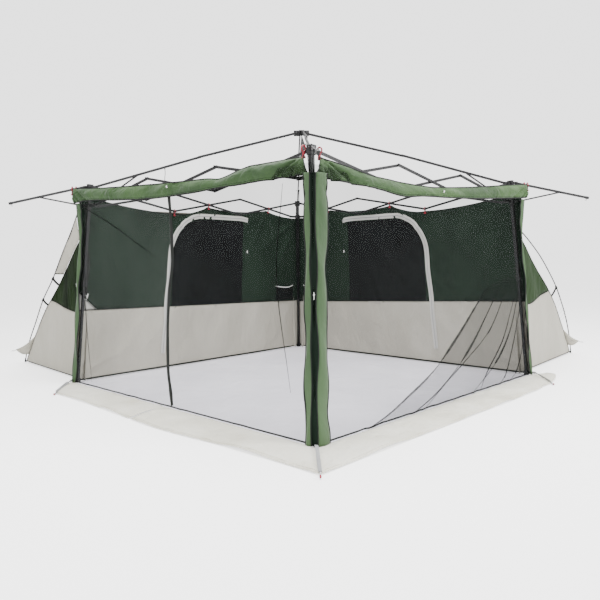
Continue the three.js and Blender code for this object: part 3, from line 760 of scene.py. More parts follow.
def valance_relief(wall, u, z):
    top, low = valance_top[wall](u), valance_low[wall](u)
    t = (z - low) / (top - low)
    off = 0.012 + 0.026 * (1 - t) + 0.016 * math.sin(math.pi * t)
    off += gather(u, z, VALANCE_TOP[wall][0], 0.058, 13, 0.4, 0.55)
    off += gather(u, z, VALANCE_TOP[wall][-1], 0.034, 15, 1.3)
    off -= (0.062 + 0.03 * t) * (1 - ease((u - 0.06) / 0.45))  # its front end hangs from the truss
    off += 0.010 * ripple(u * 5.0 + z * 9.0, z * 3.0, 2.2) + 0.006 * ripple(u * 11.0 - z * 14.0, z * 4.0, 6.1)
    for at in VALANCE_MARKS[wall]:
        off += 0.012 * math.exp(-((u - at) / 0.05) ** 2) * t
        off += gather(u, z, (at, top + 0.01), 0.010, 9)
    return off


def valance_point(wall, u, z, more=0.0):
    return wall_point(wall, u, z, valance_relief(wall, u, z) + more)


def make_valances():
    for wall in ("front_left", "front_right"):
        low, top = ([(u, height[wall](u)) for u in spread(marks[wall][0][0], marks[wall][-1][0], 90)]
                    for marks, height in ((VALANCE_LOW, valance_low), (VALANCE_TOP, valance_top)))
        top.reverse()
        piece = cut_cloth(f"valance_{wall}", low + top, lambda u, z, wall=wall: valance_point(wall, u, z),
                          GREEN, 0.016)
        with_wall(piece, wall, "hung")
        trim = Shape()
        ends = [list(zip(spread(a[0], b[0], 8), spread(a[1], b[1], 8)))
                for a, b in ((low[0], top[-1]), (low[-1], top[0]))]
        for line in (low, top, *ends):
            trim.tube([valance_point(wall, u, z, 0.001) for u, z in line], 0.0055, 6, 0.45, across=UP)
        with_wall(trim.make(f"valance_binding_{wall}", BINDING), wall)
        stitch = Shape()
        stitch.tube([valance_point(wall, u, z + 0.012, 0.001) for u, z in low], 0.0012, 5, 0.7, across=UP)
        with_wall(stitch.make(f"valance_stitching_{wall}", SHADED_GREEN), wall)
        tie = Shape()
        at = VALANCE_MARKS[wall][1]
        height = valance_top[wall](at) - 0.03
        tie.tube([valance_point(wall, at + d, height - 0.02 * abs(d) * 40, 0.006)
                  for d in (-0.01, -0.004, 0.0, 0.004, 0.01)], 0.003, 6, 0.5, across=UP)
        tie.block(valance_point(wall, at, height, 0.008),
                  (WALLS[wall]["along"], WALLS[wall]["out"], UP), (0.012, 0.006, 0.014))
        with_wall(tie.make(f"valance_tie_{wall}", ELASTIC), wall)


# ---------------------------------------------------------------- corner covers and clips


def add_clip(shape, place, out, along, size=1.0):
    """A moulded hook: an open ring over a pole, a stem, and a foot for the sewn loop."""
    ring = []
    for k in range(15):
        a = math.radians(-60 + 300 * k / 14)
        ring.append(place + UP * (0.014 + 0.0155 * math.sin(a)) * size + out * (0.0155 * math.cos(a)) * size)
    shape.tube(ring, 0.0042 * size, 8)
    shape.block(place - UP * 0.014 * size, (along, out, UP), (0.014 * size, 0.008 * size, 0.030 * size))
    shape.block(place - UP * 0.032 * size, (along, out, UP), (0.026 * size, 0.008 * size, 0.010 * size))


def make_clips():
    for corner in CORNERS:
        out = outward(corner)
        along = Vector((-out.y, out.x, 0))
        shape = Shape()
        for way in (-1, 1):
            if corner == "front":
                wall = "front_left" if way < 0 else "front_right"
                place = valance_point(wall, VALANCE_TOP[wall][0][0] + 0.004, VALANCE_TOP[wall][0][1] + 0.004)
                add_clip(shape, place + UP * 0.022, WALLS[wall]["out"], WALLS[wall]["along"], 1.2)
                continue
            place = at_corner(corner, CLOTH_HALF_TOP, HANG_Z - 0.012)
            add_clip(shape, place + out * 0.016 * way + along * way * 0.004, along, out, 1.15)
        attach(shape.make(f"corner_clips_{corner}", RED), f"leg_upper_{corner}")
    for wall in ("back_left", "back_right"):
        for i in (1, 2, 3):
            joint = JOINTS[f"fold_{wall}_rising_{i}"]
            shape = Shape()
            place = Vector(joint["pos_m"]) + UP * -0.012 + WALLS[wall]["out"] * 0.002
            add_clip(shape, place, WALLS[wall]["out"], WALLS[wall]["along"], 1.0)
            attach(shape.make(f"wall_clip_{wall}_{i}", RED), joint["child"])


# widths of the cover's flanges along the two walls that meet at a corner
COVERS = {
    "front": (("front_left", False, 0.052), ("front_right", False, 0.100)),
    "left": (("front_left", True, 0.086), ("back_left", True, 0.07)),
    "right": (("front_right", True, 0.078), ("back_right", True, 0.05)),
}
COVER_ENDS = (0.012, 1.645)  # heights
VALLEY = 0.0075  # half width of the fold in the middle of a corner cover


def flange_point(corner, k, s, z):
    """s from 0 at the middle fold to 1 at the flange's free edge."""
    wall, at_end, width = COVERS[corner][k]
    swing = (0.012 * ripple(z * 2.3, 5.0 + k, 3.0) + 0.008 * math.sin(z * 4.2 + k * 1.7)
             + 0.012 * ripple(z * 7.0, 2.0 + k, 9.0)) * width / 0.1
    if corner != "front":  # gathered narrow below its top
        narrow = 0.45 if corner == "right" else 0.78
        width *= narrow + (1 - narrow) * ease((z - 1.0) / 0.62)
    reach = VALLEY + (width - VALLEY + swing) * s
    if corner == "front":  # twisted a little towards the left wall near the ground
        reach += (0.012 if k == 0 else -0.012) * ease(1 - z / 0.9)
    off = 0.020 + 0.14 * width * math.sin(math.pi * s) + 0.008 * ripple(z * 3.0, s * 1.5, 8.0 + k)
    off += gather(s * width, z, (0.0, 1.64), 0.16 * width, 10, k * 1.1)
    off += 0.006 * math.sin(z * 13.0 + s * 3.0) * ease((1.64 - z) / 0.3)
    return wall_point(wall, LENGTH - reach if at_end else reach, z, off)


def make_covers():
    low, top = COVER_ENDS
    heights = spread(low, top, 90)
    for corner, flanges in COVERS.items():
        body = f"leg_upper_{corner}"
        inward = -outward(corner)
        trim = Shape()
        for k in (0, 1):
            inner = [flange_point(corner, k, 0.0, z) for z in heights]
            outer = [flange_point(corner, k, 1.0, z) for z in heights]

            def place(p, i, j, corner=corner, k=k):
                return flange_point(corner, k, j, low + (top - low) * i)

            piece = strip_cloth(f"corner_flange_{corner}_{k + 1}", inner, outer, 6, COVER_GREEN, place)
            declare(piece)
            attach(piece, body)
            trim.tube(outer, 0.0075, 6, 0.5, across=WALLS[flanges[k][0]]["along"])
            trim.tube(inner, 0.0045, 6, 0.5, across=WALLS[flanges[k][0]]["along"])
        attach(trim.make(f"corner_binding_{corner}", BINDING), body)
        sides = [[flange_point(corner, k, 0.0, z) for z in heights] for k in (0, 1)]

        def sunk(p, i, j, inward=inward):
            return p + inward * (0.012 * math.sin(math.pi * j) * (1 + 0.5 * ripple(i * 9, 0.5, 4.0)))

        # The fold strip takes the darker copy of the cover cloth: painted shade in the recess.
        piece = strip_cloth(f"corner_fold_{corner}", sides[0], sides[1], 6, SHADED_GREEN, sunk)
        declare(piece)
        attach(piece, body)
        tie = Shape()
        knot = (sides[0][50] + sides[1][50]) / 2 - inward * 0.012
        tie.tube([knot + UP * 0.012, knot, knot - inward * 0.004 - UP * 0.02, knot - UP * 0.034],
                 0.0028, 6, 0.6)
        tie.lathe(knot - UP * 0.004, inward, [(-0.006, 0.003), (0, 0.006), (0.006, 0.003)], 10)
        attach(tie.make(f"corner_tie_{corner}", ELASTIC), body)


def add_peg(shape, place, away, length=0.05):
    """A hooked wire peg pushed into the ground, lying low: only its hook and shank top show."""
    hook = [(0.012, 0.004), (0.016, 0.014), (0.008, 0.022), (0, 0.016), (-0.004, 0.008),
            (length * 0.3, 0.0055), (length, 0.0045)]
    shape.tube(smooth([place + away * reach + UP * z for reach, z in hook], 30), 0.003, 8)


def make_pegs():
    pegs = Shape()
    straps = Shape()
    tips = Shape()
    ends = {"front": ("front_left", 0.0), "left": ("front_left", LENGTH), "right": ("front_right", LENGTH)}
    for corner, (wall, u) in ends.items():
        out = outward(corner)
        foot = at_corner(corner, CLOTH_HALF_BASE, 0.02)
        tip = skirt_point(wall, u, 1.0)
        away = (tip - foot).normalized()
        line = smooth([foot, foot + (tip - foot) * 0.3 + UP * 0.022, tip + UP * 0.012], 16)
        straps.tube(line, 0.011, 8, 0.12, across=Vector((-out.y, out.x, 0)))
        add_peg(pegs, tip + UP * -tip.z, away)
        tips.lathe(tip + away * 0.05 + UP * (-tip.z + 0.013), away,
                   [(-0.014, 0.002), (-0.01, 0.006), (0.01, 0.0062), (0.014, 0.003)], 12)
    for name in POD_END:
        for way in (-1, 1):
            out = turned(name, 0, 1, 0)
            add_peg(pegs, turned(name, way * pod_width(POD_END[name]), POD_END[name], 0) + out * 0.012, out)
    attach(pegs.make("pegs", BARE), "groundsheet")
    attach(tips.make("peg_tips", RED), "groundsheet")
    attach(straps.make("corner_straps", WEBBING), "groundsheet")


# ---------------------------------------------------------------- room walls


# left, right, low, high
POCKETS = {"back_left": (0.105, 0.40, 0.62, 0.79), "back_right": (0.10, 0.32, 0.62, 0.79)}
GUSSET = 0.20  # width of the gap at the left wall's lower far corner
ROOM_TOP_ENDS = {"back_left": (1.62, 1.745), "back_right": (1.625, 1.735)}


def room_top(wall, u):
    """Scalloped upper edge of a room wall, hung from the truss crossings."""
    near, far = ROOM_TOP_ENDS[wall]
    marks = [(0.0, near)] + [(along_wall(wall, p), p.z - 0.022) for p in crossings(wall)] + [(LENGTH, far)]
    marks.sort()
    for (a, za), (b, zb) in zip(marks, marks[1:]):
        if a <= u <= b:
            t = (u - a) / (b - a)
            return za + (zb - za) * t - 0.032 * (1 - (2 * t - 1) ** 2) ** 0.8
    return far


def room_relief(wall, u, z):
    """How far a room wall stands out of its plane: soft swells, and folds that fan out where it is hung."""
    off = 0.012 * ripple(u * 1.4, z * 1.1, 2.0 if wall == "back_left" else 5.0)
    near_top = ease((z - 1.15) / 0.55)
    for k, at in enumerate(along_wall(wall, p) for p in crossings(wall)):
        off -= 0.030 * near_top * math.exp(-((u - at) / 0.20) ** 2)
        off += gather(u, z, (at, 1.70), 0.026, 11, k * 0.7, 0.38)
    off += gather(u, z, (0.0, 1.62), 0.040, 13, 0.3, 0.55) + gather(u, z, (LENGTH, 1.72), 0.030, 13, 0.9, 0.6)
    off += gather(u, z, (LENGTH, 0.05), 0.022, 9, 0.2, 0.5) + gather(u, z, (0.0, 0.05), 0.018, 9, 0.8, 0.4)
    off -= 0.012 * near_top
    off += 0.006 * ripple(u * 5.0 + z * 3.0, z * 1.2, 11.0)
    lean = abs(ripple(u * 1.6 + z * 1.1, z * 0.5, 17.0))
    off -= 0.008 * max(0.0, 1 - lean * 9)
    clear = ease((u - 0.05) / 0.16)  # flat where the back leg stands against it
    return off * min(1.0, 8 * z) * clear


def room_point(wall, u, z, more=0.0):
    return wall_point(wall, u, z, room_relief(wall, u, z) - more)


def door_arc(wall, grow=0.0):
    """The rounded far upper corner of a door's mesh panel, or of a line this far outside it."""
    d = DOOR[wall]
    radius = d["round"] + grow
    turns = [math.radians(a) for a in range(0, 91, 6)]
    return [(d["far"] + grow - radius * (1 - math.cos(a)), d["top"] + grow - radius * (1 - math.sin(a)))
            for a in turns]


def door_outline(wall):
    d = DOOR[wall]
    return [(d["near"], d["low"]), (d["far"], d["low"]), *door_arc(wall),
            (d["near"] + 0.03, d["top"] - 0.002), (d["near"], d["top"] - 0.03)]


def make_room_walls():
    for wall, split in split_at.items():
        line = [(u, split(u)) for u in spread(0, LENGTH, 60)]
        top = [(u, room_top(wall, u)) for u in reversed(spread(0, LENGTH, 100))]
        hem, door = line, door_outline(wall)
        if wall == "back_left":  # drawn up to a toggle on the leg, clear of the corner
            start = LENGTH - GUSSET
            hem = [p for p in line if p[0] < start - 0.01] + [(start, split(start)), (LENGTH, 0.84)]

        def place(u, z, wall=wall):
            return room_point(wall, u, z)

        upper = cut_cloth(f"room_wall_upper_{wall}", hem + top, place, WALL_GREEN, 0.03, [door])
        lower = cut_cloth(f"room_wall_lower_{wall}", [(0, WALL_FOOT), (LENGTH, WALL_FOOT), *reversed(line)],
                          place, BEIGE, 0.03)
        panel = cut_cloth(f"door_panel_{wall}", door, place, DARK_MESH, 0.03, thick=False)
        for piece in (upper, lower, panel):
            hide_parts("sleeping_cabin")
            with_wall(piece, wall, "hung")
        seams = Shape()
        foot = [(u, WALL_FOOT + 0.008) for u, _ in line]
        for edge, off, radius, flat in ((line, 0.003, 0.004, 0.4), (foot, 0.004, 0.0075, 0.4),
                                        (top, 0.001, 0.004, 0.5)):
            seams.tube([room_point(wall, u, z, off) for u, z in edge], radius, 6, flat, across=UP)
        with_wall(seams.make(f"room_seams_{wall}", BINDING), wall)
        make_door(wall)
        make_pocket(wall)


def make_door(wall):
    """The pale tape and the zip that run round a door's mesh panel, and the toggle beside it."""
    d = DOOR[wall]
    run = line_2d([(d["near"] - 0.06, d["top"] + 0.015), (d["near"] + 0.1, d["top"] + 0.032),
                   *reversed(door_arc(wall, 0.035)), (d["far"] + 0.05, 0.9), (d["far"] + 0.066, 0.7),
                   (d["far"] + 0.08, 0.42), (d["far"] + 0.10, 0.16)], 150)
    for part, off, width, material in (("tape", 0.005, 0.052, TAPE), ("zip", 0.0085, 0.007, WEBBING)):
        band = Shape()
        band.ribbon([room_point(wall, u, z, off) for u, z in run], WALLS[wall]["out"], width, 0.003)
        with_wall(band.make(f"door_{part}_{wall}", material), wall)
    toggle = Shape()
    middle = room_point(wall, d["near"] - 0.06, (d["top"] + d["low"]) / 2 + 0.12, 0.014)
    toggle.lathe(middle - UP * 0.015, UP,
                 [(0, 0.0025), (0.003, 0.005), (0.015, 0.0038), (0.027, 0.005), (0.03, 0.0025)], 12)
    toggle.tube([middle + WALLS[wall]["along"] * s * 0.012 + WALLS[wall]["out"] * 0.008 * abs(s)
                 for s in (-1, -0.4, 0, 0.4, 1)], 0.0018, 6)
    with_wall(toggle.make(f"door_toggle_{wall}", ELASTIC), wall)


def make_corner_gusset():
    """The pale gusset that closes the gap where the left room wall is drawn up to its toggle."""
    split = split_at["back_left"](LENGTH - GUSSET / 2)
    corners = ((LENGTH - GUSSET, split), (LENGTH + 0.01, split), (LENGTH, 0.85))
    piece = cut_cloth("corner_gusset_left", [tuple(Vector(p)) for p in corners],
                      lambda u, z: room_point("back_left", u, z, -0.012), TAPE, 0.02)
    with_wall(piece, "back_left", "hung")


def make_leg_sleeve():
    """The doubled dark edge of the left room wall, gathered beside its leg down to a white toggle."""
    line = smooth([(-1.315, 1.452, 1.72), (-1.333, 1.452, 1.58), (-1.358, 1.45, 1.26), (-1.395, 1.446, 0.93),
                   (-1.416, 1.445, 0.80)], 60)
    sleeve = Shape()
    sleeve.tube([p + Vector((0.004 * ripple(p.z * 6, 1.0, 2.0), 0, 0)) for p in line], 0.024, 12, 0.42,
                across=(1, 0, 0),
                taper=lambda t: 0.95 + 0.35 * ripple(t * 7, 0.2, 5.0) - 0.4 * ease((t - 0.86) / 0.14))
    with_wall(sleeve.make("leg_sleeve_left", BINDING), "back_left")
    end = line[-1]
    toggle = Shape()
    toggle.lathe(end + Vector((0.012, -0.016, -0.012)), (0.4, 0, 1),
                 [(0, 0.003), (0.004, 0.0062), (0.02, 0.0045), (0.036, 0.0062), (0.04, 0.003)], 12)
    loop = ((0.0, -0.012, 0.012), (0.022, -0.018, 0.0), (0.004, -0.014, -0.03), (-0.012, -0.01, -0.012))
    toggle.tube(smooth([end + Vector(p) for p in loop], 18), 0.0022, 6)
    with_wall(toggle.make("leg_sleeve_toggle", ELASTIC), "back_left")


def make_pocket(wall):
    """An organiser pocket by the back leg, under an elastic hem."""
    left, right, low, high = POCKETS[wall]

    def place(u, z):
        s, t = (u - left) / (right - left), (z - low) / (high - low)
        belly = 0.035 * math.sin(math.pi * min(max(s, 0), 1)) * (0.35 + 0.65 * math.sin(math.pi * 0.55 * t))
        return room_point(wall, u, z - 0.018 * t * math.sin(math.pi * s), 0.006 + belly)

    outline = [(left, low), (right, low), (right, high), (left, high)]
    piece = cut_cloth(f"pocket_{wall}", outline, place, DARK_MESH, 0.02, thick=False)
    with_wall(piece, wall, "hung")
    hem = Shape()
    hem.tube([place(u, high) for u in spread(left, right, 24)], 0.005, 8, 0.6, across=UP)
    with_wall(hem.make(f"pocket_elastic_{wall}", ELASTIC), wall)


# ---------------------------------------------------------------- pods

# slope of each pod's end: (distance from the room's middle, height) of the cloth, and of its pole
POD_CLOTH = {
    "left": [(1.475, 1.37), (1.603, 1.266), (1.925, 1.026), (2.30, 0.74), (2.44, 0.64), (2.642, 0.46),
             (2.85, 0.25), (3.03, 0.02)],
    "right": [(1.475, 1.33), (1.663, 1.211), (2.009, 0.993), (2.366, 0.763), (2.60, 0.585), (2.80, 0.38),
              (2.95, 0.2), (3.06, 0.02)],
}
POD_POLE = {
    "left": [(1.40, 1.66), (1.637, 1.418), (1.873, 1.21), (2.146, 0.953), (2.434, 0.728), (2.66, 0.492),
             (2.846, 0.300), (2.96, 0.16), (3.045, 0.02)],
    "right": [(1.42, 1.37), (1.673, 1.269), (2.004, 1.114), (2.337, 0.912), (2.537, 0.767), (2.73, 0.585),
              (2.89, 0.40), (3.01, 0.2), (3.075, 0.02)],
}
POD_END = {name: points[-1][0] for name, points in POD_CLOTH.items()}
POD_SPLIT = {"left": [(1.475, 0.635), (1.757, 0.642), (2.028, 0.682), (2.36, 0.735)],
             "right": [(1.475, 0.668), (1.645, 0.662), (1.82, 0.65), (2.022, 0.694), (2.42, 0.76)]}
POD_START = 1.475  # where the pods' cloth leaves the room walls
POD_CROWN = 0.25  # height of the sloping end's arch above its side seams, at the room wall
POD_TIES = {"left": (0.965, 0.735), "right": (0.775,)}  # heights of the black ties from pole to cloth
POD_LACES = (0.655, 0.615, 0.575, 0.535, 0.49, 0.45)  # heights of the thin white laces
POD_STEPS = 60  # steps along a pod's slope
POD_STRIP = (1.50, 2.10)  # how far the beige strip under the left pole reaches
pod_line = {name: line_2d(points, POD_STEPS) for name, points in POD_CLOTH.items()}
pod_pole_line = {name: line_2d(points, 80) for name, points in POD_POLE.items()}


def pod_width(y):
    """Half width of a pod this far from the room's middle."""
    return LEG_HALF_BASE - 0.07 - 0.11 * (y - 1.5) / 1.48


def pod_pole_point(name, way, y, z, more=0.012):
    return turned(name, way * (pod_width(y) + more), y, z)


def turned(name, x, y, z):
    return Vector((y, x, z)) if name == "right" else Vector((x, y, z))


def pod_side_point(name, way, y, z, more=0.0):
    off = 0.018 * math.sin(math.pi * min(1.0, z / 1.2)) + 0.008 * ripple(y * 3, z * 2.5, 4.0 + way)
    off += 0.008 * math.sin((y * 0.9 + z * 0.7) * 16) * math.exp(-abs(z - 0.9) / 0.35)
    width = pod_width(y) * (1 - 0.012 * z) - off * min(1, 6 * z) * min(1.0, 8 * (POD_END[name] - y + 0.02))
    return turned(name, way * (width + more), y, z)


def make_pods():
    for name, far_side in (("left", "outer"), ("right", "front")):
        cloth_line = pod_line[name]
        split = through(POD_SPLIT[name])
        split_end = next(k for k, p in enumerate(cloth_line) if p[1] < split(p[0]))
        split_line = [(y, split(y)) for y in spread(POD_START, cloth_line[split_end][0], 24)[:-1]]
        split_line.append(cloth_line[split_end])
        for way, side in ((-1, far_side), (1, "inner")):
            make_pod_side(name, way, side, split_line, split_end)
            make_pod_pole(name, way, side)
            make_pod_ties(name, way, side)
            make_flap(name, way, side)
            if name == "left":
                make_pole_strip(way, side)
        make_pod_slope(name, "upper", 0, split_end)
        make_pod_slope(name, "lower", split_end, POD_STEPS)


def make_pod_side(name, way, side, split_line, split_end):
    """An upright side of a pod: green above the split line, beige below it."""
    cloth_line, wall = pod_line[name], f"back_{name}"

    def place(y, z):
        return pod_side_point(name, way, y, z)

    # The left pod's green sides take the darker copy of the pod cloth: painted shade.
    upper = cut_cloth(f"pod_{name}_side_upper_{side}", split_line + cloth_line[split_end - 1::-1], place,
                      POD_GREEN_SHADED if name == "left" else POD_GREEN, 0.035)
    foot = [(POD_START, WALL_FOOT), (POD_END[name], WALL_FOOT)]
    lower = cut_cloth(f"pod_{name}_side_lower_{side}",
                      foot + cloth_line[-2:split_end - 1:-1] + split_line[-2::-1], place, BEIGE, 0.035)
    for piece in (upper, lower):
        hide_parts("sleeping_cabin")
        with_wall(piece, wall, "hung")
    seams = Shape()
    ground = [(y, WALL_FOOT + 0.005) for y in spread(POD_START, POD_END[name], 30)]
    for line in (split_line, cloth_line, ground):
        seams.tube([pod_side_point(name, way, y, z, 0.002) for y, z in line], 0.0045, 6, 0.5, across=UP)
    with_wall(seams.make(f"pod_{name}_seams_{side}", BINDING), wall)


def make_pod_pole(name, way, side):
    """A thin bent pole in three sections, with a ferrule at each join and a foot."""
    run = pod_pole_line[name]
    pole = Shape()
    pole.tube([pod_pole_point(name, way, y, z) for y, z in run], 0.0058, 10)
    pole.lathe(pod_pole_point(name, way, *run[-1]) - UP * 0.018, UP,
               [(0, 0.003), (0.004, 0.009), (0.014, 0.009), (0.03, 0.006), (0.045, 0.005)], 12)
    for share in (0.33, 0.67):
        k = round(share * 80)
        direction = turned(name, 0, run[k + 1][0] - run[k][0], run[k + 1][1] - run[k][1]).normalized()
        pole.lathe(pod_pole_point(name, way, *run[k]) - direction * 0.03, direction,
                   [(0, 0.0045), (0.003, 0.0062), (0.057, 0.0062), (0.06, 0.0045)], 10)
    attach(pole.make(f"pod_pole_{name}_{side}", STEEL), f"leg_upper_{name if way < 0 else 'back'}")


def make_pod_ties(name, way, side):
    """Black ties and thin white laces from a pod's pole to its sloping edge, each with a ring on the pole."""
    lash, lace = Shape(), Shape()
    for height in POD_TIES[name] + POD_LACES:
        p = min(pod_pole_line[name], key=lambda q: abs(q[1] - height))
        on_cloth = min(pod_line[name], key=lambda q: math.dist(q, p))
        a = pod_pole_point(name, way, *p)
        b = pod_side_point(name, way, *on_cloth, 0.003)
        slack = [a.lerp(b, t) - UP * 0.006 * math.sin(math.pi * t) for t in spread(0, 1, 6)]
        if height in POD_TIES[name]:
            lash.tube(slack, 0.011, 8, 0.3, across=UP)
            lash.lathe(a - turned(name, 0, 0.012, -0.012), turned(name, 0, 1, -1),
                       [(0, 0.006), (0.003, 0.011), (0.03, 0.011), (0.033, 0.006)], 12)
        else:
            lace.tube(slack, 0.0022, 6)
            lace.lathe(a - turned(name, 0, 0.002, -0.002), turned(name, 0, 1, -1),
                       [(0, 0.006), (0.001, 0.0078), (0.004, 0.0078), (0.005, 0.006)], 12)
    with_wall(lash.make(f"pod_{name}_ties_{side}", BINDING), f"back_{name}")
    with_wall(lace.make(f"pod_{name}_laces_{side}", ELASTIC), f"back_{name}")


def make_pod_slope(name, part, first, last):
    """A part of a pod's sloping end, which arches near the room wall and sags below."""
    cloth_line, columns = pod_line[name], 40
    vertices = []
    for k in range(first, last + 1):
        y, z = cloth_line[k]
        fallen = k / POD_STEPS
        for s in spread(-1, 1, columns):
            crown = POD_CROWN * (1 - s ** 6) * ease(1 - fallen / 0.6)
            sag = 0.03 * (1 - s * s) * math.sin(math.pi * fallen)
            bump = ((0.012 * ripple(s * 4, k * 0.09, 3.3) + 0.006 * math.sin(s * 26 + k * 0.1) * fallen)
                    * (1 - s ** 8) * math.sin(math.pi * min(1, (k + 0.5) / POD_STEPS)))
            lift = crown + 0.7 * (bump - sag) if k < POD_STEPS else 0.0
            vertices.append(turned(name, s * pod_side_x(name, y, z), y - 0.6 * (sag - bump), z + lift))
    piece = solid(f"pod_{name}_slope_{part}", vertices, grid_faces(last - first, columns), BEIGE, 180.0)
    thicken(piece)
    length = sum(math.dist(cloth_line[k], cloth_line[k + 1]) for k in range(first, last))
    wide, narrow = (2 * pod_width(cloth_line[k][0]) for k in (first, last))
    piece["flat_size"] = [wide, length]
    piece["flat_area"] = length * (wide + narrow) / 2
    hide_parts("sleeping_cabin")
    with_wall(piece, f"back_{name}", "stretched")


def make_flap(name, way, side):
    """A small three-cornered flap sewn to the pod's sloping edge, with a short guy loop at its tip."""
    high, low = (min(pod_line[name], key=lambda q: abs(q[1] - height)) for height in (0.30, 0.10))
    tip_y = min(POD_END[name] + 0.06, 3.09)
    rows = 6

    def place(i, j):
        y, z = (a + (b - a) * i for a, b in zip(high, low))
        base = pod_side_point(name, way, y, z, 0.004)
        tip = turned(name, way * (pod_width(tip_y) + 0.10), tip_y, 0.150)
        return base.lerp(tip, j) - UP * (0.02 * math.sin(math.pi * j) * (1 + 0.5 * math.sin(7 * i)))

    vertices = [place(i / rows, 0.94 * j / rows) for j in range(rows + 1) for i in range(rows + 1)]
    piece = solid(f"pod_{name}_flap_{side}", vertices, grid_faces(rows, rows), BEIGE, 180.0)
    thicken(piece)
    base = (place(0, 0) - place(1, 0)).length
    piece["flat_area"] = sum(face.area for face in piece.data.polygons)
    piece["flat_size"] = [base, 2 * piece["flat_area"] / base]
    with_wall(piece, f"back_{name}", "stretched")
    guy = Shape()
    tip = place(0.5, 0.94)
    away = turned(name, way * 0.02, 0.012, 0)
    guy.tube(smooth([place(0.5, 0.86) + UP * 0.002, tip, tip + away - UP * 0.014,
                     tip + away * 1.8 - UP * 0.012, tip + away * 2.2 - UP * 0.02], 24), 0.0026, 8)
    with_wall(guy.make(f"pod_{name}_flap_loop_{side}", BINDING), f"back_{name}")


def make_pole_strip(way, side):
    """The beige strip that fills the upper part of the gap between the left pod's pole and its cloth."""
    start, end = POD_STRIP
    edge = [p for p in pod_pole_line["left"] if start <= p[0] <= end]
    on_cloth = [min(pod_line["left"], key=lambda c: abs(c[0] - y))
                for y in spread(start, end - 0.14, len(edge) - 1)]
    inner = [pod_side_point("left", way, y, z + 0.004, 0.006) for y, z in on_cloth]
    outer = [pod_pole_point("left", way, y, z) for y, z in edge]

    def swell(p, i, j):
        return p + Vector((way * (0.010 * math.sin(math.pi * j) + 0.006 * ripple(i * 5, j * 2, 3.0)), 0, 0))

    piece = strip_cloth(f"pod_left_strip_{side}", inner, outer, 5, BEIGE, swell)
    with_wall(piece, "back_left", "stretched")
    hem = Shape()
    hem.tube([swell(inner[-1].lerp(outer[-1], j), 1.0, j) for j in spread(0, 1, 8)], 0.006, 8, 0.5,
             across=UP)
    with_wall(hem.make(f"pod_left_strip_hem_{side}", BINDING), "back_left")


def pod_side_x(name, y, z):
    p = pod_side_point(name, 1, y, z)
    return p.y if name == "right" else p.x


# ---------------------------------------------------------------- fittings on the frame


# (distance out, radius) of a rivet's washer and domed head
RIVET = [(-0.002, 0.0085), (0.0006, 0.0085), (0.001, 0.0065), (0.0028, 0.0052), (0.0036, 0.0025)]


def make_rivets():
    """Domed rivet heads and washers on every pivot, gathered by the body that carries them."""
    shapes = {}
    for name, joint in JOINTS.items():
        if joint["type"] != "hinge" or "pos_m" not in joint:
            continue
        axis = Vector(joint["axis"]).normalized()
        place = Vector(joint["pos_m"])
        reach = 0.0125 if "fold" in name else 0.0185
        shape = shapes.setdefault(joint["child"], Shape())
        for way in (-1, 1):
            shape.lathe(place + axis * way * reach, axis * way, RIVET, 12)
    for body, shape in shapes.items():
        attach(shape.make(f"rivets_{body}", STEEL), body)


def make_eave_cap(corner):
    """A moulded end with an eye, on the tip of an eave pole."""
    pivot = JOINTS["eave_swing_back"]["pos_m"]
    low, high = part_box(f"eave_pole_{corner}")
    reach = math.hypot(*(max(abs(low[i]), abs(high[i])) for i in (0, 1))) - 0.012
    height = pivot[2] - (reach - math.hypot(pivot[0], pivot[1])) * math.tan(EAVE_SLOPE)
    out = outward(corner)
    centre = out * reach + UP * height
    along = out * math.cos(EAVE_SLOPE) - UP * math.sin(EAVE_SLOPE)
    up = UP * math.cos(EAVE_SLOPE) + out * math.sin(EAVE_SLOPE)
    cap = Shape()
    cap.block(centre - along * 0.012, (along, out.cross(UP), up), (0.034, 0.0155, 0.0235), 0.003)
    cap.tube([centre - (along + up) * 0.02 + (along * math.cos(a) + up * math.sin(a)) * 0.008
              for a in spread(-2.6, 2.6, 13)], 0.0018, 6)
    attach(cap.make(f"eave_cap_{corner}", PLASTIC), f"eave_pole_{corner}")


def make_latch(corner):
    """The buttons of a slider's latch, on its two inner faces."""
    sx, sy = CORNERS[corner]
    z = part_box(f"slider_{corner}")[1][2] - 0.03
    latch = Shape()
    for axis in (Vector((-sx, 0, 0)), Vector((0, -sy, 0))):
        latch.lathe(at_corner(corner, leg_half(z), z) + axis * 0.0175, axis,
                    [(0, 0.009), (0.004, 0.009), (0.0055, 0.0075), (0.006, 0.004)])
    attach(latch.make(f"slider_latch_{corner}", PLASTIC), f"slider_{corner}")


def make_collar(corner):
    """The collar where a leg's two tubes meet, four plates and a push button."""
    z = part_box(f"leg_upper_{corner}")[0][2] + 0.03
    centre = at_corner(corner, leg_half(z), z)
    up_leg = (at_corner(corner, leg_half(1.0), 1.0) - at_corner(corner, leg_half(0.0))).normalized()
    half, thick, wide, tall = 0.0163, 0.0035, 0.036, 0.05
    collar = Shape()
    for dx, dy, size in ((half, 0, (thick, wide, tall)), (-half, 0, (thick, wide, tall)),
                         (0, half, (wide, thick, tall)), (0, -half, (wide, thick, tall))):
        collar.block(centre + Vector((dx, dy, 0)), ((1, 0, 0), (0, 1, 0), up_leg), size, 0.0012)
    inward = Vector((-CORNERS[corner][0], 0, 0))
    collar.lathe(centre + inward * 0.018, inward,
                 [(0, 0.0065), (0.003, 0.0065), (0.0055, 0.004), (0.006, 0.002)])
    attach(collar.make(f"leg_collar_{corner}", PLASTIC), f"leg_upper_{corner}")


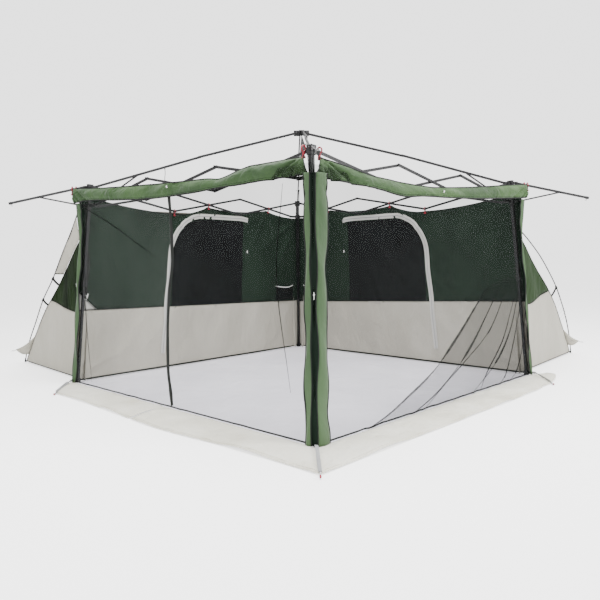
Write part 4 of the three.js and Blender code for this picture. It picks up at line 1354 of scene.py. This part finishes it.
def make_knuckle(corner):
    """The two cheeks of a roof pole's mid hinge, each with a pin head."""
    joint = JOINTS[f"roof_inner_{corner}"]
    place = Vector(joint["pos_m"])
    out = outward(corner)
    side = out.cross(UP)
    knuckle = Shape()
    for way in (-1, 1):
        knuckle.block(place + side * way * 0.0205, (out, side, UP), (0.05, 0.003, 0.044), 0.001)
        knuckle.lathe(place + side * way * 0.0215, side * way,
                      [(0, 0.011), (0.004, 0.011), (0.006, 0.008), (0.0065, 0.003)])
    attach(knuckle.make(f"roof_knuckle_{corner}", PLASTIC), joint["child"])


def make_frame_fittings():
    for corner in CORNERS:
        make_eave_cap(corner)
        make_latch(corner)
        make_collar(corner)
        make_knuckle(corner)
    hub = Shape()
    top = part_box("peak_hub")[1][2]
    hub.lathe((0, 0, top - 0.004), UP,
              [(0, 0.029), (0.004, 0.03), (0.007, 0.027), (0.009, 0.018), (0.0095, 0.006)], 24)
    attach(hub.make("hub_cap", PLASTIC), "peak_hub")


def make_peak_web():
    """A small dark web of cloth under the hub, sewn to the front roof pole's sleeve."""
    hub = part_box("peak_hub")[0][2]
    across = Vector((1, -1, 0)).normalized()
    tips = [UP * (hub + 0.01), across * 0.055 + UP * (hub - 0.15),
            across * -0.016 + UP * (hub - 0.165)]
    rows = 12
    vertices = []
    for j in range(rows + 1):
        for i in range(rows + 1):
            u, v = i / rows, j / rows * 0.97
            p = tips[0].lerp(tips[1], u).lerp(tips[2], v)
            belly = 0.012 * math.sin(math.pi * u) * math.sin(math.pi * v)
            vertices.append(p + Vector((-belly, -belly, 0)))
    piece = solid("peak_web", vertices, grid_faces(rows, rows), DARK_MESH, 180.0)
    width, drop = (tips[1] - tips[2]).length, (tips[2] - tips[0]).length
    piece["flat_size"] = [width, drop]
    piece["flat_area"] = 0.5 * width * drop
    declare(piece)
    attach(piece, "peak_hub")


# ---------------------------------------------------------------- hanging cord

CORD_R = 1.25  # of the cord's knot round the left roof pole, from the middle of the room
CORD_LENGTH = 0.24
CORD_DIAMETER = 0.006


def make_cord():
    """A pull cord that hangs from the left roof pole, with a knotted end."""
    pivot = Vector(JOINTS["roof_outer_left"]["pos_m"])
    hinge = Vector(JOINTS["roof_inner_left"]["pos_m"])
    pivot_r, hinge_r = (math.hypot(p.x, p.y) for p in (pivot, hinge))
    share = (pivot_r - CORD_R) / (pivot_r - hinge_r)
    place = pivot.lerp(hinge, share)
    exit_point = Vector((place.x, place.y, place.z - 0.0105))
    steps = 24
    points = []
    for k in range(steps + 1):
        sway = Vector((0.004 * math.sin(k * 0.5), 0.003 * math.sin(k * 0.35), 0))
        points.append(exit_point + sway - UP * (CORD_LENGTH * k / steps))
    line = Shape()
    line.tube(points, CORD_DIAMETER / 2, 8)
    cord = line.make("roof_cord", BINDING)
    knot = Shape()
    knot.lathe(points[-1] + UP * -0.006, UP,
               [(0, 0.002), (0.002, 0.0048), (0.007, 0.0054), (0.011, 0.0044), (0.013, 0.0022)], 12)
    end = knot.make("roof_cord_knot", BINDING)
    loop = Shape()
    across = Vector((-0.7, -0.7, 0)) * 0.0105
    loop.tube([place + (exit_point - place) * 1.12 * math.cos(a) + across * math.sin(a)
               for a in spread(-math.pi, math.pi, 16)], CORD_DIAMETER / 2, 8)
    wrap = loop.make("roof_cord_loop", BINDING)
    for piece in (cord, end, wrap):
        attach(piece, "roof_pole_outer_left")


# ---------------------------------------------------------------- stage and light


STAGE_HALF, STAGE_Z = 60.0, -0.002
FLOOR_GLOW = 1.5  # so that the floor and the backdrop are one pale sweep
BACKDROP_GLOW = 2.6
WORLD_LIGHT = 1.25


def make_stage():
    mesh = bpy.data.meshes.new("studio_floor")
    square = ((-1, -1), (1, -1), (1, 1), (-1, 1))
    mesh.from_pydata([(x * STAGE_HALF, y * STAGE_HALF, STAGE_Z) for x, y in square], [], [(0, 1, 2, 3)])
    floor = bpy.data.objects.new("studio_floor", mesh)
    bpy.context.scene.collection.objects.link(floor)
    material, tree, shader = blank("studio_floor")
    shader.inputs["Base Color"].default_value = (0.9, 0.9, 0.9, 1)
    shader.inputs["Roughness"].default_value = 0.9
    shader.inputs["Specular IOR Level"].default_value = 0.1
    shader.inputs["Emission Color"].default_value = (1, 1, 1, 1)
    seen = add(tree, "LightPath").outputs["Is Camera Ray"]
    tree.links.new(math_node(tree, "MULTIPLY", seen, FLOOR_GLOW), shader.inputs["Emission Strength"])
    mesh.materials.append(material)
    world = bpy.data.worlds.new("studio")
    world.use_nodes = True
    tree = world.node_tree
    background = tree.nodes["Background"]
    background.inputs["Color"].default_value = (1, 1, 1, 1)
    seen = add(tree, "LightPath").outputs["Is Camera Ray"]
    tree.links.new(span(tree, seen, WORLD_LIGHT, BACKDROP_GLOW), background.inputs["Strength"])
    bpy.context.scene.world = world


def make_light(name, place, aim, size, power):
    light = bpy.data.objects.new(name, bpy.data.lights.new(name, "AREA"))
    light.data.shape = "DISK"
    light.data.size = size
    light.data.energy = power
    light.location = place
    light.rotation_mode = "QUATERNION"
    light.rotation_quaternion = (Vector(aim) - Vector(place)).to_track_quat("-Z", "Y")
    bpy.context.scene.collection.objects.link(light)


make_cord()
make_floor()
make_skirts()
make_mesh_walls()
make_mesh_gather()
make_zip()
make_valances()
make_clips()
make_covers()
make_room_walls()
make_corner_gusset()
make_leg_sleeve()
make_pods()
make_pegs()
make_rivets()
make_frame_fittings()
make_peak_web()
for name, node in frame["nodes"].items():
    plastic = name.startswith("slider_") or name == "peak_hub"
    for material_slot in node.material_slots:
        material_slot.material = PLASTIC if plastic else STEEL
make_stage()
make_light("key", (2.5, -8.0, 5.0), (0, 0, 0.9), 3.5, 800)
make_light("side", (-8.0, -1.0, 3.5), (0, 0, 0.9), 4.0, 220)
make_light("top", (-0.6, -0.6, 6.5), (0, 0, 0), 4.0, 800)
